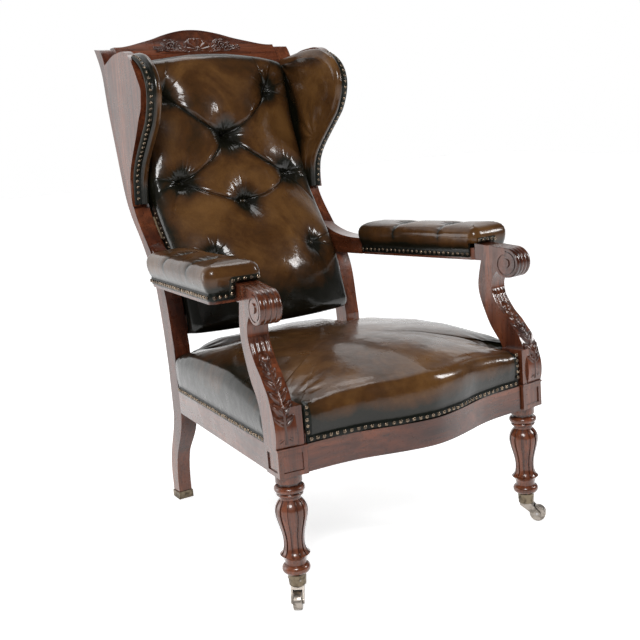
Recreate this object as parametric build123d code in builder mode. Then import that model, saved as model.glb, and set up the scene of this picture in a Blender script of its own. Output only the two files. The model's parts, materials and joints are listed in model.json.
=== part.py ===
"""A leather wing chair on turned front legs with casters.

The frame is drawn square, as it lies on a bench: X to the sitter's left, Y to
the back and Z up, with the seat rails level. At the end every piece is turned
back by the lean and set on the floor. Right-hand pieces are drawn first, and
the left-hand ones are their mirror images.
"""
from build123d import *
from math import atan2, cos, degrees, radians, sin, sqrt, tan
import os

# Overall layout
leg_spacing = 605.0          # between the axes of the front legs
post_spacing = 530.0         # over the outside faces of the back posts
seat_depth = 553.0           # front leg axis to the front face of a back post
post_height = 1137.0         # top of a back post above the wheels' tread
back_run = 290.0             # how far the top of a post lies behind its foot at the seat
lean_angle = 3.0             # the whole chair stands this far back, in degrees
clearance = 0.3              # gap left between pieces that only touch
overrun = 20.0               # how far a cutting shape runs past what it cuts

# Front legs and seat rails
block_size = 60.0            # square block above the turning
rail_bottom = 265.0
show_wood = 54.0             # visible height of the seat rails
rail_height = 87.0           # whole height, with the part behind the leather
rail_thickness = 26.0
rail_inset = 3.0             # side rail behind the block's face
leather_rebate = 4.5         # set-back of the rail behind the leather
front_bow = 50.0             # rise of the serpentine front rail at its middle
rear_rail_height = 70.0
rear_rail_inset = 7.0        # rear rail behind the posts' front faces
web_rebate = 8.0             # step inside the rails' lower edge for the webbing
web_step = 6.0
tenon_length = 20.0
tenon_thickness = 9.0
tenon_shoulder = 11.0
tenon_slack = 0.2
panel_depth = 2.5            # sunk panels on the leg block
panel_border = 9.0
block_cap = 4.0              # thin moulding on top of the block
block_cap_lip = 1.5

# Turned leg: radii, and heights above the tread
disc_radius = 26.0
disc_height = 16.0
ring_radius = 29.9
ring_centre = 235.5
ring_half = 7.0
bead_radius = 26.0
bead_half = 3.2
neck_radius = 20.5
belly_radius = 30.7
belly_centre = 183.0
belly_top = 215.0
waist_radius = 20.0
waist_centre = 128.0
flare_radius = 29.0
flare_centre = 104.0
foot_ring_radius = 27.5
foot_ring_half = 9.5
reed_count = 12
reed_depth = 2.2
reed_gap = 9.0               # degrees of each groove between two reeds

# Casters
wheel_radius = 17.5
wheel_width = 17.0
wheel_round = 2.0
wheel_trail = 25.0           # wheel axle behind the swivel axis
caster_angle = 36.0          # degrees that each caster is turned outward
axle_radius = 3.0
running_fit = 0.05
cheek = 3.5                  # thickness of a horn's cheek
wheel_play = 0.5             # wheel to cheek
wheel_room = 2.2             # tread to the horn's plate
horn_plate = 4.0
horn_reach = 12.0            # plate's radius about the swivel axis
boss_radius = 6.5
stem_radius = 4.0
stem_length = 30.0           # in the leg
rivet_head = 1.5
rivet_radius = 6.0
cup_height = 24.0
cup_radius = 18.0
cup_taper = 1.5
cup_wall = 2.5
cup_rim = 1.4
cup_floor = 3.0
cup_screws = 3
cup_screw_radius = 2.0
cup_screw_length = 9.0

# Back posts
post_width = 40.0
foot_width = 33.0
foot_taper_start = 215.0
foot_taper_end = 160.0
shoe_wall = 2.2
shoe_height = 17.0
shoe_floor = 8.0

# Arms and their supports
arm_height = 585.0           # underside of the arm
arm_thickness = 27.0
arm_width = 97.0
arm_inner = 13.0             # arm's inner edge inside the leg's axis
arm_front = 104.0            # front of the wide board behind the leg's axis
arm_length = 374.0           # length of the wide board
arm_tail_width = 46.0        # where the arm runs up into the post
arm_rise = 156.0             # height of that run above the arm's underside
arm_corner = 12.0
support_inner = 12.0
support_outer = 32.0
support_sweep = 100.0        # reach of the S behind the leg's axis
base_inner = 26.5
base_height = 76.0
base_half = 27.5
scroll_radius = 31.5
scroll_back = 18.5           # scroll's centre behind the leg's axis
scroll_drop = 3.5            # scroll's centre below the arm's underside
scroll_eye = 10.0
scroll_eye_rise = 2.5
scroll_groove = 1.6
scroll_groove_width = 3.0
neck_rise = 37.0             # top of the scroll's neck above the arm's underside
roll_reeds = 4
reed_cut = 2.2
reed_cut_width = 1.8
arm_tenon = 18.0
arm_pad_rise = 47.0          # leather's crown above the board
arm_pad_skirt = 15.0         # leather's side below the board's top
arm_pad_bulge = 3.0          # leather outside the board's edge
arm_pad_round = 15.0
leather = 2.5

# Wings
wing_height = 356.0
wing_depth = 235.0
wing_bottom = 752.0
wing_thickness = 19.0
wing_proud = 2.0             # wing's outer face outside the post's
wing_flare = 2.2             # degrees that the wings open to the front
wing_pad = 21.0
wing_pad_round = 9.0
wing_lip = 5.0               # bare wood outside the leather

# Back upholstery
back_gap = 2.0               # between the back's side and the post's inner face
back_proud = 28.0            # side of the back before the posts
back_crown = 46.0            # middle of the back before its sides
back_corner = 18.0
back_seat_gap = 4.0
tuft_radius = 19.0
tuft_depth = 34.0
pleat_half_angle = 9.0
pleat_depth = 24.0
button_radius = 8.0
button_height = 5.0
button_rim = 1.5
webbing_width = 50.0
webbing_thickness = 2.0
back_panel = 3.0
lower_rail_height = 44.0
lower_rail_thickness = 24.0
crest_peak = 1178.0
crest_drop = 126.0           # bottom of the crest rail under its peak
crest_thickness = 27.0
crest_tenon_height = 34.0
crest_tenon_back = 242.0     # crest tenon behind the posts' foot line

# Seat upholstery
seat_crown = 449.0
seat_bulge = 5.0
seat_hide = 4.0              # leather of the seat with its lining
spring_radius = 36.0
spring_wire = 2.0
spring_turns = 4
spring_rows = 3
spring_spacing = 130.0
hessian = 1.5
dust_cloth = 1.0

# Brass nails and small fixings
nail_radius = 4.2
nail_rise = 2.4
nail_pitch = 14.6
band_height = 13.0
band_thickness = 1.2
screw_radius = 2.5
screw_length = 40.0
screw_head = 5.0
corner_leg = 60.0
corner_height = 40.0

os.makedirs("parts", exist_ok=True)
pieces = {}


def keep(context, label):
    """Name a finished piece and remember it."""
    context.part.label = label
    pieces[label] = context.part


def keep_pair(context, label):
    """Keep a right-hand piece, and its mirror image as the left-hand one."""
    keep(context, label + "_right")
    with BuildPart() as twin:
        mirror(context.part, about=Plane.YZ)
    keep(twin, label + "_left")


# Frames of the bench. The side frame runs along the right side rail: "t" is
# the distance behind the front leg's axis and "out" the distance outward.
leg_x = leg_spacing / 2
post_x = post_spacing / 2
post_inner_x = post_x - post_width
block_half = block_size / 2
rail_out = block_half - rail_inset
rail_in = rail_out - rail_thickness
splay = atan2(leg_x + rail_out - post_x, seat_depth)
along = Vector(-sin(splay), cos(splay), 0)
outward = Vector(cos(splay), sin(splay), 0)
leg_foot = Vector(leg_x, 0, 0)
rail_top = rail_bottom + rail_height
show_top = rail_bottom + show_wood
block_top = show_top + block_cap / 2
tenon_height = rail_height - 2 * tenon_shoulder
front_rail_back = rail_thickness - rail_out
rear_rail_front = seat_depth + rear_rail_inset
web_top = rail_bottom + web_step


def at(t, out, z):
    """A point of the bench from its place in the side frame."""
    return leg_foot + along * t + outward * out + Vector(0, 0, z)


def t_of(y, out):
    """Distance along the side at which a line of constant "out" reaches y."""
    return (y - out * sin(splay)) / cos(splay)


def side_plane(out):
    """Plane along the side, drawn in t and height, facing outward."""
    return Plane(origin=at(0, out, 0), x_dir=along, z_dir=outward)


def plan_plane(z):
    """Level plane of the side frame, drawn in out and t."""
    return Plane(origin=at(0, 0, z), x_dir=outward, z_dir=(0, 0, 1))


leg_place = Location(plan_plane(0))
before_posts = Plane.XZ.offset(-seat_depth)


def reading(table, z):
    """Straight-line reading of a table of (distance, height) points."""
    for (y0, z0), (y1, z1) in zip(table, table[1:]):
        if z <= z1:
            return y0 + (y1 - y0) * (z - z0) / (z1 - z0)
    return table[-1][0]


# Bars that cut the mortises and make the tenons of the rails
def side_tenon(slack):
    """Bar through a side rail, from inside the leg block to inside the post."""
    middle = (rail_out + rail_in) / 2
    first = block_half - tenon_length - slack
    last = t_of(seat_depth, middle) + tenon_length + slack
    with BuildPart() as bar:
        with BuildSketch(side_plane(middle - tenon_thickness / 2 - slack)):
            with Locations(((first + last) / 2, rail_bottom + rail_height / 2)):
                Rectangle(last - first, tenon_height + 2 * slack)
        extrude(amount=tenon_thickness + 2 * slack)
    return bar.part


def cross_tenon(half_length, y, z, height, slack):
    """Bar along X that stands for the tenons at both ends of a cross rail."""
    with BuildPart() as bar:
        with BuildSketch(Plane.XZ.offset(tenon_thickness / 2 + slack - y)):
            with Locations((0, z)):
                Rectangle(2 * (half_length + tenon_length + slack), height + 2 * slack)
        extrude(amount=-tenon_thickness - 2 * slack)
    return bar.part


def front_tenon(slack):
    return cross_tenon(leg_x - block_half / cos(splay), (front_rail_back - rail_out) / 2,
                       rail_bottom + rail_height / 2, tenon_height, slack)


def rear_tenon(slack):
    return cross_tenon(post_inner_x, rear_rail_front + rail_thickness / 2,
                       rail_bottom + rear_rail_height / 2, rear_rail_height - 2 * tenon_shoulder, slack)


# Outlines of a back post, in shares of the back's run and of the post's height
leg_front_shares = [(0.209, 0.037), (0.207, 0.073), (0.176, 0.120), (0.138, 0.144), (0.079, 0.170),
                    (0.028, 0.199), (0.0, 0.250)]
leg_rear_shares = [(0.314, 0.037), (0.314, 0.089), (0.276, 0.136), (0.193, 0.186), (0.159, 0.212),
                   (0.148, 0.254)]
back_front_shares = [(0.0, 0.372), (0.021, 0.412), (0.042, 0.455), (0.078, 0.492), (0.162, 0.532),
                     (0.272, 0.571), (0.376, 0.604), (0.505, 0.655), (0.560, 0.705), (0.634, 0.768),
                     (0.700, 0.820), (0.740, 0.880), (0.776, 0.930), (0.800, 0.960), (0.872, 0.992)]
back_rear_shares = [(0.148, 0.330), (0.172, 0.405), (0.207, 0.467), (0.245, 0.509), (0.331, 0.550),
                    (0.434, 0.591), (0.559, 0.632), (0.652, 0.675), (0.700, 0.717), (0.776, 0.803),
                    (0.845, 0.888), (0.885, 0.947), (0.931, 0.972), (0.993, 0.9965)]


def post_points(shares):
    return [(seat_depth + run * back_run, up * post_height) for run, up in shares]


post_front = post_points(leg_front_shares[-1:] + back_front_shares)
foot_height = leg_front_shares[0][1] * post_height
lower_rail_bottom = seat_crown
lower_rail_y = reading(post_front, lower_rail_bottom + lower_rail_height) + lower_rail_thickness / 2
crest_bottom = crest_peak - crest_drop


def lower_tenon(slack):
    return cross_tenon(post_inner_x, lower_rail_y, lower_rail_bottom + lower_rail_height / 2,
                       lower_rail_height - tenon_shoulder, slack)


def crest_tenon(slack):
    return cross_tenon(post_inner_x, seat_depth + crest_tenon_back, crest_bottom + crest_tenon_height,
                       crest_tenon_height, slack)


with BuildPart() as back_post:
    with BuildSketch(Plane.YZ.offset(post_inner_x)):
        with BuildLine():
            leg_front = Spline(post_points(leg_front_shares), tangents=[(0, 1), (0, 1)])
            leg_rear = Spline(post_points(leg_rear_shares), tangents=[(0, 1), (0, 1)])
            stile_front = Spline(post_points(back_front_shares))
            stile_rear = Spline(post_points(back_rear_shares))
            Line(leg_front @ 0, leg_rear @ 0)
            Line(leg_front @ 1, stile_front @ 0)
            Line(leg_rear @ 1, stile_rear @ 0)
            Line(stile_front @ 1, stile_rear @ 1)
        make_face()
    extrude(amount=post_width)
    with BuildSketch(before_posts):
        with BuildLine():
            Polyline((post_inner_x - overrun, 0), (post_x - foot_width, 0),
                     (post_x - foot_width, foot_taper_end), (post_inner_x, foot_taper_start),
                     (post_inner_x - overrun, foot_taper_start), close=True)
        make_face()
    extrude(amount=-back_run, mode=Mode.SUBTRACT)
    add(side_tenon(tenon_slack), mode=Mode.SUBTRACT)
    add(rear_tenon(tenon_slack), mode=Mode.SUBTRACT)
    add(lower_tenon(tenon_slack), mode=Mode.SUBTRACT)
    add(crest_tenon(tenon_slack), mode=Mode.SUBTRACT)
keep_pair(back_post, "back_post")


# Front legs: a turned and reeded leg in one piece with its square block. They
# are drawn about their own axis and then set in the side frame.
cup_bottom = 2 * wheel_radius + wheel_room + horn_plate + clearance
cup_top = cup_bottom + cup_height
foot_radius = cup_radius - cup_taper - cup_wall - clearance
foot_ring = cup_top + foot_ring_half
flare_start = foot_ring + foot_ring_half
bead_centre = ring_centre - ring_half - bead_half


def body_curve(inset):
    """The reeded stretch, from the flare over the waist to the belly's neck."""
    return Spline((flare_radius - inset, flare_centre), (waist_radius - inset, waist_centre),
                  (belly_radius - inset, belly_centre), (neck_radius - inset, belly_top),
                  tangents=[(-1, tan(radians(caster_angle))), (-1, 1)])


with BuildPart() as turning:
    with BuildSketch(Plane.XZ):
        with BuildLine():
            Polyline((0, cup_bottom + cup_floor), (foot_radius, cup_bottom + cup_floor),
                     (foot_radius, cup_top), (neck_radius, cup_top))
            ThreePointArc((neck_radius, cup_top), (foot_ring_radius, foot_ring), (neck_radius, flare_start))
            Spline((neck_radius, flare_start), (flare_radius, flare_centre), tangents=[(0, 1), (1, 1)])
            body_curve(0)
            Line((neck_radius, belly_top), (neck_radius, bead_centre - bead_half))
            ThreePointArc((neck_radius, bead_centre - bead_half), (bead_radius, bead_centre),
                          (neck_radius, bead_centre + bead_half))
            ThreePointArc((neck_radius, ring_centre - ring_half), (ring_radius, ring_centre),
                          (neck_radius, ring_centre + ring_half))
            Polyline((neck_radius, ring_centre + ring_half), (neck_radius, rail_bottom - disc_height),
                     (disc_radius, rail_bottom - disc_height), (disc_radius, rail_bottom),
                     (0, rail_bottom), (0, cup_bottom + cup_floor))
        make_face()
    revolve(axis=Axis.Z)

with BuildPart() as reed_groove:
    with BuildSketch(Plane.XZ):
        with BuildLine():
            groove_floor = body_curve(reed_depth)
            Polyline(groove_floor @ 1, (belly_radius + reed_depth, belly_top),
                     (belly_radius + reed_depth, flare_centre), groove_floor @ 0)
        make_face()
    revolve(axis=Axis.Z, revolution_arc=reed_gap)

with BuildPart() as leg_pattern:
    add(turning.part)
    with PolarLocations(0, reed_count):
        add(reed_groove.part, mode=Mode.SUBTRACT)
    with BuildSketch(Plane.XY.offset(rail_bottom)):
        Rectangle(block_size, block_size)
    extrude(amount=block_top - block_cap - rail_bottom)
    with BuildSketch(Plane.XY.offset(block_top - block_cap)):
        Rectangle(block_size + 2 * block_cap_lip, block_size + 2 * block_cap_lip)
    extrude(amount=block_cap)
    panel_height = block_top - block_cap - rail_bottom - 2 * panel_border
    panel_centre = rail_bottom + panel_border + panel_height / 2
    for face_plane in (Plane.YZ.offset(block_half), Plane.XZ.offset(block_half)):
        with BuildSketch(face_plane):
            with Locations((0, panel_centre)):
                Rectangle(block_size - 2 * panel_border, panel_height)
        extrude(amount=-panel_depth, mode=Mode.SUBTRACT)
    with Locations((0, 0, cup_bottom + cup_floor)):
        Cylinder(stem_radius, stem_length, align=(Align.CENTER, Align.CENTER, Align.MIN), mode=Mode.SUBTRACT)


# Casters. The horn swivels on the stem, and the wheel turns on its axle. They
# are drawn with the wheel trailing along +X and then turned about the leg.
caster_place = leg_place * Location((0, 0, 0), (0, 0, caster_angle - 90 - degrees(splay)))
cheek_out = wheel_width / 2 + wheel_play + cheek
plate_top = cup_bottom - clearance

with BuildPart() as caster_cup:
    with BuildSketch(Plane.XZ):
        with BuildLine():
            Polyline((stem_radius, cup_bottom), (cup_radius - cup_taper, cup_bottom),
                     (cup_radius, cup_top - 2 * cup_rim), (cup_radius + cup_rim, cup_top - cup_rim),
                     (cup_radius, cup_top), (foot_radius + clearance, cup_top),
                     (foot_radius + clearance, cup_bottom + cup_floor),
                     (stem_radius, cup_bottom + cup_floor), close=True)
        make_face()
    revolve(axis=Axis.Z)


def cup_screw_set():
    """Small screws through the cup's wall into the leg's foot."""
    with BuildPart() as screws:
        for number in range(cup_screws):
            heading = Vector(1, 0, 0).rotate(Axis.Z, caster_angle + number * 360 / cup_screws)
            start = heading * (cup_radius + cup_rim / 2) + Vector(0, 0, cup_bottom + cup_height / 2)
            with BuildSketch(Plane(origin=start, z_dir=-heading)):
                Circle(cup_screw_radius)
            extrude(amount=cup_screw_length)
    return screws.part


with BuildPart() as caster_stem:
    with Locations((0, 0, plate_top - horn_plate - rivet_head)):
        Cylinder(rivet_radius, rivet_head, align=(Align.CENTER, Align.CENTER, Align.MIN))
        Cylinder(stem_radius, rivet_head + horn_plate + clearance + cup_floor + stem_length,
                 align=(Align.CENTER, Align.CENTER, Align.MIN))

with BuildPart() as caster_horn:
    with BuildSketch(Plane.XZ):
        with Locations((wheel_trail, wheel_radius)):
            Circle(boss_radius)
        with Locations((0, plate_top - horn_plate / 2)):
            Rectangle(2 * horn_reach, horn_plate)
        make_hull()
    extrude(amount=cheek_out, both=True)
    with BuildSketch(Plane.XZ):
        with Locations((wheel_trail, wheel_radius)):
            Circle(wheel_radius + wheel_room)
            Rectangle(4 * wheel_radius, 2 * boss_radius)
    extrude(amount=wheel_width / 2 + wheel_play, both=True, mode=Mode.SUBTRACT)
    with Locations((0, 0, plate_top - 2 * horn_plate)):
        Cylinder(stem_radius + running_fit, 2 * horn_plate,
                 align=(Align.CENTER, Align.CENTER, Align.MIN), mode=Mode.SUBTRACT)
        Cylinder(rivet_radius + clearance, horn_plate + running_fit,
                 align=(Align.CENTER, Align.CENTER, Align.MIN), mode=Mode.SUBTRACT)
    with Locations(Plane(origin=(wheel_trail, 0, wheel_radius), z_dir=(0, 1, 0))):
        Cylinder(axle_radius, 2 * cheek_out, mode=Mode.SUBTRACT)

axle_plane = Plane(origin=(wheel_trail, 0, wheel_radius), z_dir=(0, 1, 0))
with BuildPart() as caster_axle:
    with Locations(axle_plane):
        Cylinder(axle_radius, 2 * cheek_out)

with BuildPart() as caster_wheel:
    with Locations(axle_plane):
        Cylinder(wheel_radius, wheel_width)
    fillet(caster_wheel.edges().filter_by(GeomType.CIRCLE), wheel_round)
    with Locations(axle_plane):
        Cylinder(axle_radius + running_fit, wheel_width, mode=Mode.SUBTRACT)

for pattern, label in ((caster_horn, "caster_horn"), (caster_axle, "caster_axle"),
                       (caster_wheel, "caster_wheel"), (caster_stem, "caster_stem")):
    with BuildPart() as placed:
        add(pattern.part.moved(caster_place))
    keep_pair(placed, label)

with BuildPart() as placed_cup:
    add(caster_cup.part.moved(leg_place))
    add(cup_screw_set().moved(leg_place), mode=Mode.SUBTRACT)
keep_pair(placed_cup, "caster_cup")

with BuildPart() as caster_screws:
    add(cup_screw_set().moved(leg_place))
    mirror(about=Plane.YZ)
keep(caster_screws, "caster_screws")

with BuildPart() as front_leg:
    add(leg_pattern.part.moved(leg_place))
    add(side_tenon(tenon_slack), mode=Mode.SUBTRACT)
    add(front_tenon(tenon_slack), mode=Mode.SUBTRACT)
    add(cup_screw_set().moved(leg_place), mode=Mode.SUBTRACT)
keep_pair(front_leg, "front_leg")

# The floor, as a plane of the bench: it touches the wheels' treads
lean = radians(lean_angle)
floor_normal = Vector(0, -sin(lean), cos(lean))
axle_heading = Vector(cos(radians(caster_angle)), sin(radians(caster_angle)), 0)
wheel_centre = Vector(leg_x + wheel_trail * sin(radians(caster_angle)),
                      -wheel_trail * cos(radians(caster_angle)), wheel_radius)
axle_tip = abs(floor_normal.dot(axle_heading))
tread_reach = ((wheel_radius - wheel_round) * sqrt(1 - axle_tip ** 2)
               + (wheel_width / 2 - wheel_round) * axle_tip + wheel_round)
floor_offset = floor_normal.dot(wheel_centre) - tread_reach
floor_plane = Plane(origin=floor_normal * floor_offset, x_dir=(1, 0, 0), z_dir=floor_normal)

# Square brass shoes on the back posts
foot_front = seat_depth + leg_front_shares[0][0] * back_run
foot_back = seat_depth + leg_rear_shares[0][0] * back_run
foot_x = post_x - foot_width / 2
foot_y = (foot_front + foot_back) / 2
with BuildPart() as rear_shoe:
    with BuildSketch(Plane.XY.offset(foot_height - 2 * shoe_floor)):
        with Locations((foot_x, foot_y)):
            Rectangle(foot_width + 2 * shoe_wall, foot_back - foot_front + 2 * shoe_wall)
    extrude(amount=shoe_height + shoe_floor)
    split(bisect_by=floor_plane, keep=Keep.TOP)
    add(back_post.part, mode=Mode.SUBTRACT)
keep_pair(rear_shoe, "rear_shoe")


# Seat rails
with BuildPart() as side_rail:
    with BuildSketch(plan_plane(rail_bottom)):
        with BuildLine():
            Polyline((rail_in, block_half), (rail_out, block_half), (rail_out, seat_depth + overrun),
                     (rail_in, seat_depth + overrun), close=True)
        make_face()
    extrude(amount=rail_height)
    with BuildSketch(plan_plane(show_top)):
        with BuildLine():
            Polyline((rail_out - leather_rebate, 0), (rail_out + overrun, 0),
                     (rail_out + overrun, seat_depth + overrun),
                     (rail_out - leather_rebate, seat_depth + overrun), close=True)
        make_face()
    extrude(amount=rail_height, mode=Mode.SUBTRACT)
    with BuildSketch(plan_plane(rail_bottom)):
        with BuildLine():
            Polyline((rail_in - overrun, 0), (rail_in + web_rebate, 0),
                     (rail_in + web_rebate, seat_depth + overrun),
                     (rail_in - overrun, seat_depth + overrun), close=True)
        make_face()
    extrude(amount=web_step, mode=Mode.SUBTRACT)
    split(bisect_by=before_posts, keep=Keep.TOP)
    add(side_tenon(0))
    add(front_leg.part, mode=Mode.SUBTRACT)

# Plan of the serpentine front, in shares of its half length and of its bow
bow_shares = [(-1.0, 0.0), (-0.83, 0.03), (-0.59, 0.2), (-0.33, 0.64), (-0.2, 0.84), (0.0, 1.0),
              (0.2, 0.84), (0.33, 0.64), (0.59, 0.2), (0.83, 0.03), (1.0, 0.0)]
front_half = leg_x - block_half / cos(splay)


def front_face(set_back, half):
    """The serpentine front as a plan curve, set back from the show wood."""
    return Spline([(run * half, set_back - rail_out - rise * front_bow) for run, rise in bow_shares])


with BuildPart() as seat_front_rail:
    for start, height, set_back in ((rail_bottom, show_wood, 0), (show_top, rail_top - show_top, leather_rebate)):
        with BuildSketch(Plane.XY.offset(start)):
            with BuildLine():
                bow = front_face(set_back, front_half)
                Polyline(bow @ 1, (front_half, front_rail_back), (-front_half, front_rail_back), bow @ 0)
            make_face()
        extrude(amount=height)
    with BuildSketch(Plane.XY.offset(rail_bottom)):
        with Locations((0, front_rail_back)):
            Rectangle(2 * front_half, 2 * web_rebate)
    extrude(amount=web_step, mode=Mode.SUBTRACT)
    add(front_leg.part, mode=Mode.SUBTRACT)
    add(mirror(front_leg.part, about=Plane.YZ, mode=Mode.PRIVATE), mode=Mode.SUBTRACT)
    add(front_tenon(0))

with BuildPart() as seat_rear_rail:
    with BuildSketch(Plane.XY.offset(rail_bottom)):
        with Locations((0, rear_rail_front + rail_thickness / 2)):
            Rectangle(2 * post_inner_x, rail_thickness)
    extrude(amount=rear_rail_height)
    with BuildSketch(Plane.XY.offset(rail_bottom)):
        with Locations((0, rear_rail_front)):
            Rectangle(2 * post_inner_x, 2 * web_rebate)
    extrude(amount=web_step, mode=Mode.SUBTRACT)
    add(rear_tenon(0))

# Glue blocks in the four corners, each held by two screws
block_mid = rail_top - corner_height / 2
rear_t = t_of(rear_rail_front - clearance, rail_in)


def corner_screws():
    """Screws of the right-hand corner blocks, driven through them into the rails."""
    front_spot = at(block_half + corner_leg / 2, rail_in - screw_head, block_mid)
    rear_spot = at(rear_t - corner_leg / 2, rail_in - screw_head, block_mid)
    front_run = Vector(leg_x - block_half - corner_leg / 2, front_rail_back + screw_head, block_mid)
    rear_run = Vector(post_inner_x - corner_leg / 2, rear_rail_front - screw_head, block_mid)
    headings = ((front_spot, outward), (rear_spot, outward), (front_run, Vector(0, -1, 0)),
                (rear_run, Vector(0, 1, 0)))
    with BuildPart() as screws:
        for spot, heading in headings:
            with BuildSketch(Plane(origin=spot - heading * (screw_length / 2 - screw_head), z_dir=heading)):
                Circle(screw_radius)
            extrude(amount=screw_length)
    return screws.part


with BuildPart() as corner_blocks:
    with BuildSketch(plan_plane(rail_top - corner_height)):
        with BuildLine():
            Polyline((rail_in - clearance, block_half + corner_leg), (rail_in - clearance, block_half),
                     (-block_half, block_half), (-block_half, -block_half),
                     (-block_half - corner_leg, -block_half), close=True)
        make_face()
    extrude(amount=corner_height)
    split(bisect_by=Plane.XZ.offset(-front_rail_back - clearance), keep=Keep.BOTTOM)
    with BuildSketch(Plane.XY.offset(rail_top - corner_height)):
        near_post = at(t_of(seat_depth - clearance, rail_in), rail_in - clearance, 0)
        far_end = at(rear_t - corner_leg, rail_in - clearance, 0)
        with BuildLine():
            Polyline((post_inner_x - corner_leg, rear_rail_front - clearance),
                     (post_inner_x, rear_rail_front - clearance), (post_inner_x, seat_depth - clearance),
                     (near_post.X, seat_depth - clearance), (far_end.X, far_end.Y), close=True)
        make_face()
    extrude(amount=corner_height)
    add(corner_screws(), mode=Mode.SUBTRACT)
    add(front_leg.part, mode=Mode.SUBTRACT)
    mirror(about=Plane.YZ)
keep(corner_blocks, "corner_blocks")

with BuildPart() as corner_block_screws:
    add(corner_screws())
    mirror(about=Plane.YZ)
keep(corner_block_screws, "corner_block_screws")

for rail, label in ((side_rail, "side_rail"), (seat_front_rail, "seat_front_rail"),
                    (seat_rear_rail, "seat_rear_rail")):
    with BuildPart() as drilled:
        add(rail.part)
        add(corner_block_screws.part, mode=Mode.SUBTRACT)
    if label == "side_rail":
        keep_pair(drilled, label)
    else:
        keep(drilled, label)


# Arm supports: an S-shaped upright on a plain base, ending in a reeded scroll.
# Outlines in shares of the sweep and of the rise from the block to the arm.
support_front_shares = [(-0.28, 0.0), (-0.25, 0.254), (-0.18, 0.318), (-0.09, 0.39), (0.03, 0.443),
                        (0.15, 0.5), (0.30, 0.553), (0.48, 0.64), (0.60, 0.735), (0.61, 0.81),
                        (0.56, 0.86), (0.40, 0.93)]
support_rear_shares = [(0.28, 0.0), (0.30, 0.148), (0.38, 0.28), (0.45, 0.33), (0.57, 0.39),
                       (0.70, 0.462), (0.81, 0.549), (0.92, 0.652), (0.99, 0.765), (0.96, 0.879),
                       (0.88, 1.0)]
support_rise = arm_height - block_top
scroll_centre = (scroll_back, arm_height - scroll_drop)
neck_top = arm_height + neck_rise
scroll_top = (scroll_back, arm_height - scroll_drop + scroll_radius)
support_width = support_inner + support_outer


def support_points(shares):
    return [(run * support_sweep, block_top + up * support_rise) for run, up in shares]


def spiral(radius, sign):
    """Spiral on the scroll's face, two half turns drawn inward."""
    cx, cz = scroll_centre
    inner = (radius + scroll_eye) / 2
    ThreePointArc((cx, cz + radius), (cx - sign * radius, cz), (cx, cz - radius))
    ThreePointArc((cx, cz - radius), (cx + sign * (radius + inner) / 2, cz), (cx, cz + inner))


with BuildPart() as arm_support:
    with BuildSketch(side_plane(-support_inner)):
        with BuildLine():
            front_edge = Spline(support_points(support_front_shares))
            rear_edge = Spline(support_points(support_rear_shares))
            Line(front_edge @ 0, rear_edge @ 0)
            Polyline(rear_edge @ 1, (arm_front, arm_height), (arm_front, neck_top), scroll_top,
                     scroll_centre, front_edge @ 1)
        make_face()
        with Locations(scroll_centre):
            Circle(scroll_radius)
    extrude(amount=support_width)
    with BuildSketch(side_plane(-base_inner)):
        with Locations((0, block_top + base_height / 2)):
            Rectangle(2 * base_half, base_height)
    extrude(amount=base_inner)
    for reed in range(1, roll_reeds):
        with BuildSketch(side_plane(-support_inner + support_width * reed / roll_reeds - reed_cut_width / 2)):
            with BuildLine():
                Line((arm_front, neck_top), scroll_top)
                ThreePointArc(scroll_top, (scroll_back - scroll_radius, scroll_centre[1]),
                              (scroll_back, scroll_centre[1] - scroll_radius))
            trace(line_width=2 * reed_cut)
        extrude(amount=reed_cut_width, mode=Mode.SUBTRACT)
    for face_out, inside in ((support_outer, -1), (-support_inner, 1)):
        with BuildSketch(side_plane(face_out)):
            with BuildLine():
                spiral(scroll_radius - 2 * scroll_groove_width, 1)
            trace(line_width=scroll_groove_width)
        extrude(amount=inside * scroll_groove, mode=Mode.SUBTRACT)
        with BuildSketch(side_plane(face_out)):
            with Locations(scroll_centre):
                Circle(scroll_eye)
        extrude(amount=-inside * scroll_eye_rise)

def behind_stiles(start_x, before):
    """Everything behind a line set "before" the front of the back posts, as a cutting solid."""
    with BuildPart() as region:
        with BuildSketch(Plane.YZ.offset(start_x)):
            with BuildLine():
                stile_line = Spline([(y - before, z) for y, z in post_points(back_front_shares)])
                Polyline(stile_line @ 1, (seat_depth + 2 * back_run, post_height),
                         (seat_depth + 2 * back_run, (stile_line @ 0).Y), stile_line @ 0)
            make_face()
        extrude(amount=2 * post_spacing)
    return region.part


behind_wing = behind_stiles(post_inner_x - overrun, 0)


# Arm rails: a wide board under the pad that narrows and runs up into the post.
# Its tail's outline is in shares of the post's run from the board and of its rise.
arm_end = arm_front + arm_length
arm_inner_x = post_inner_x + 2 * nail_rise
tail_top_shares = [(0.0, 0.25), (0.22, 0.27), (0.47, 0.34), (0.67, 0.48), (0.80, 0.64), (0.90, 0.82),
                   (1.0, 1.0)]
tail_end = t_of(reading(post_front, arm_height + arm_rise) + post_width / 2, 0)


with BuildPart() as arm_tail:
    with BuildSketch(side_plane(-arm_inner)):
        with BuildLine():
            sweep_up = Spline([(arm_end + run * (tail_end - arm_end), arm_height + up * arm_rise)
                               for run, up in tail_top_shares])
            Polyline(sweep_up @ 1, (tail_end, arm_height), (arm_end, arm_height), sweep_up @ 0)
        make_face()
    extrude(amount=arm_tail_width)
    with BuildSketch(Plane.XY.offset(arm_height)):
        corner = at(arm_end, -arm_inner + arm_tail_width, 0)
        with BuildLine():
            Polyline((arm_inner_x, corner.Y - post_width), (corner.X + post_width, corner.Y - post_width),
                     (post_x + arm_thickness / 2, reading(post_front, arm_height)),
                     (post_x, reading(post_front, arm_height + arm_rise) - post_width / 2),
                     (post_x, tail_end + post_width), (arm_inner_x, tail_end + post_width), close=True)
        make_face()
    extrude(amount=arm_rise, mode=Mode.INTERSECT)
    add(behind_wing, mode=Mode.SUBTRACT)

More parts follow.
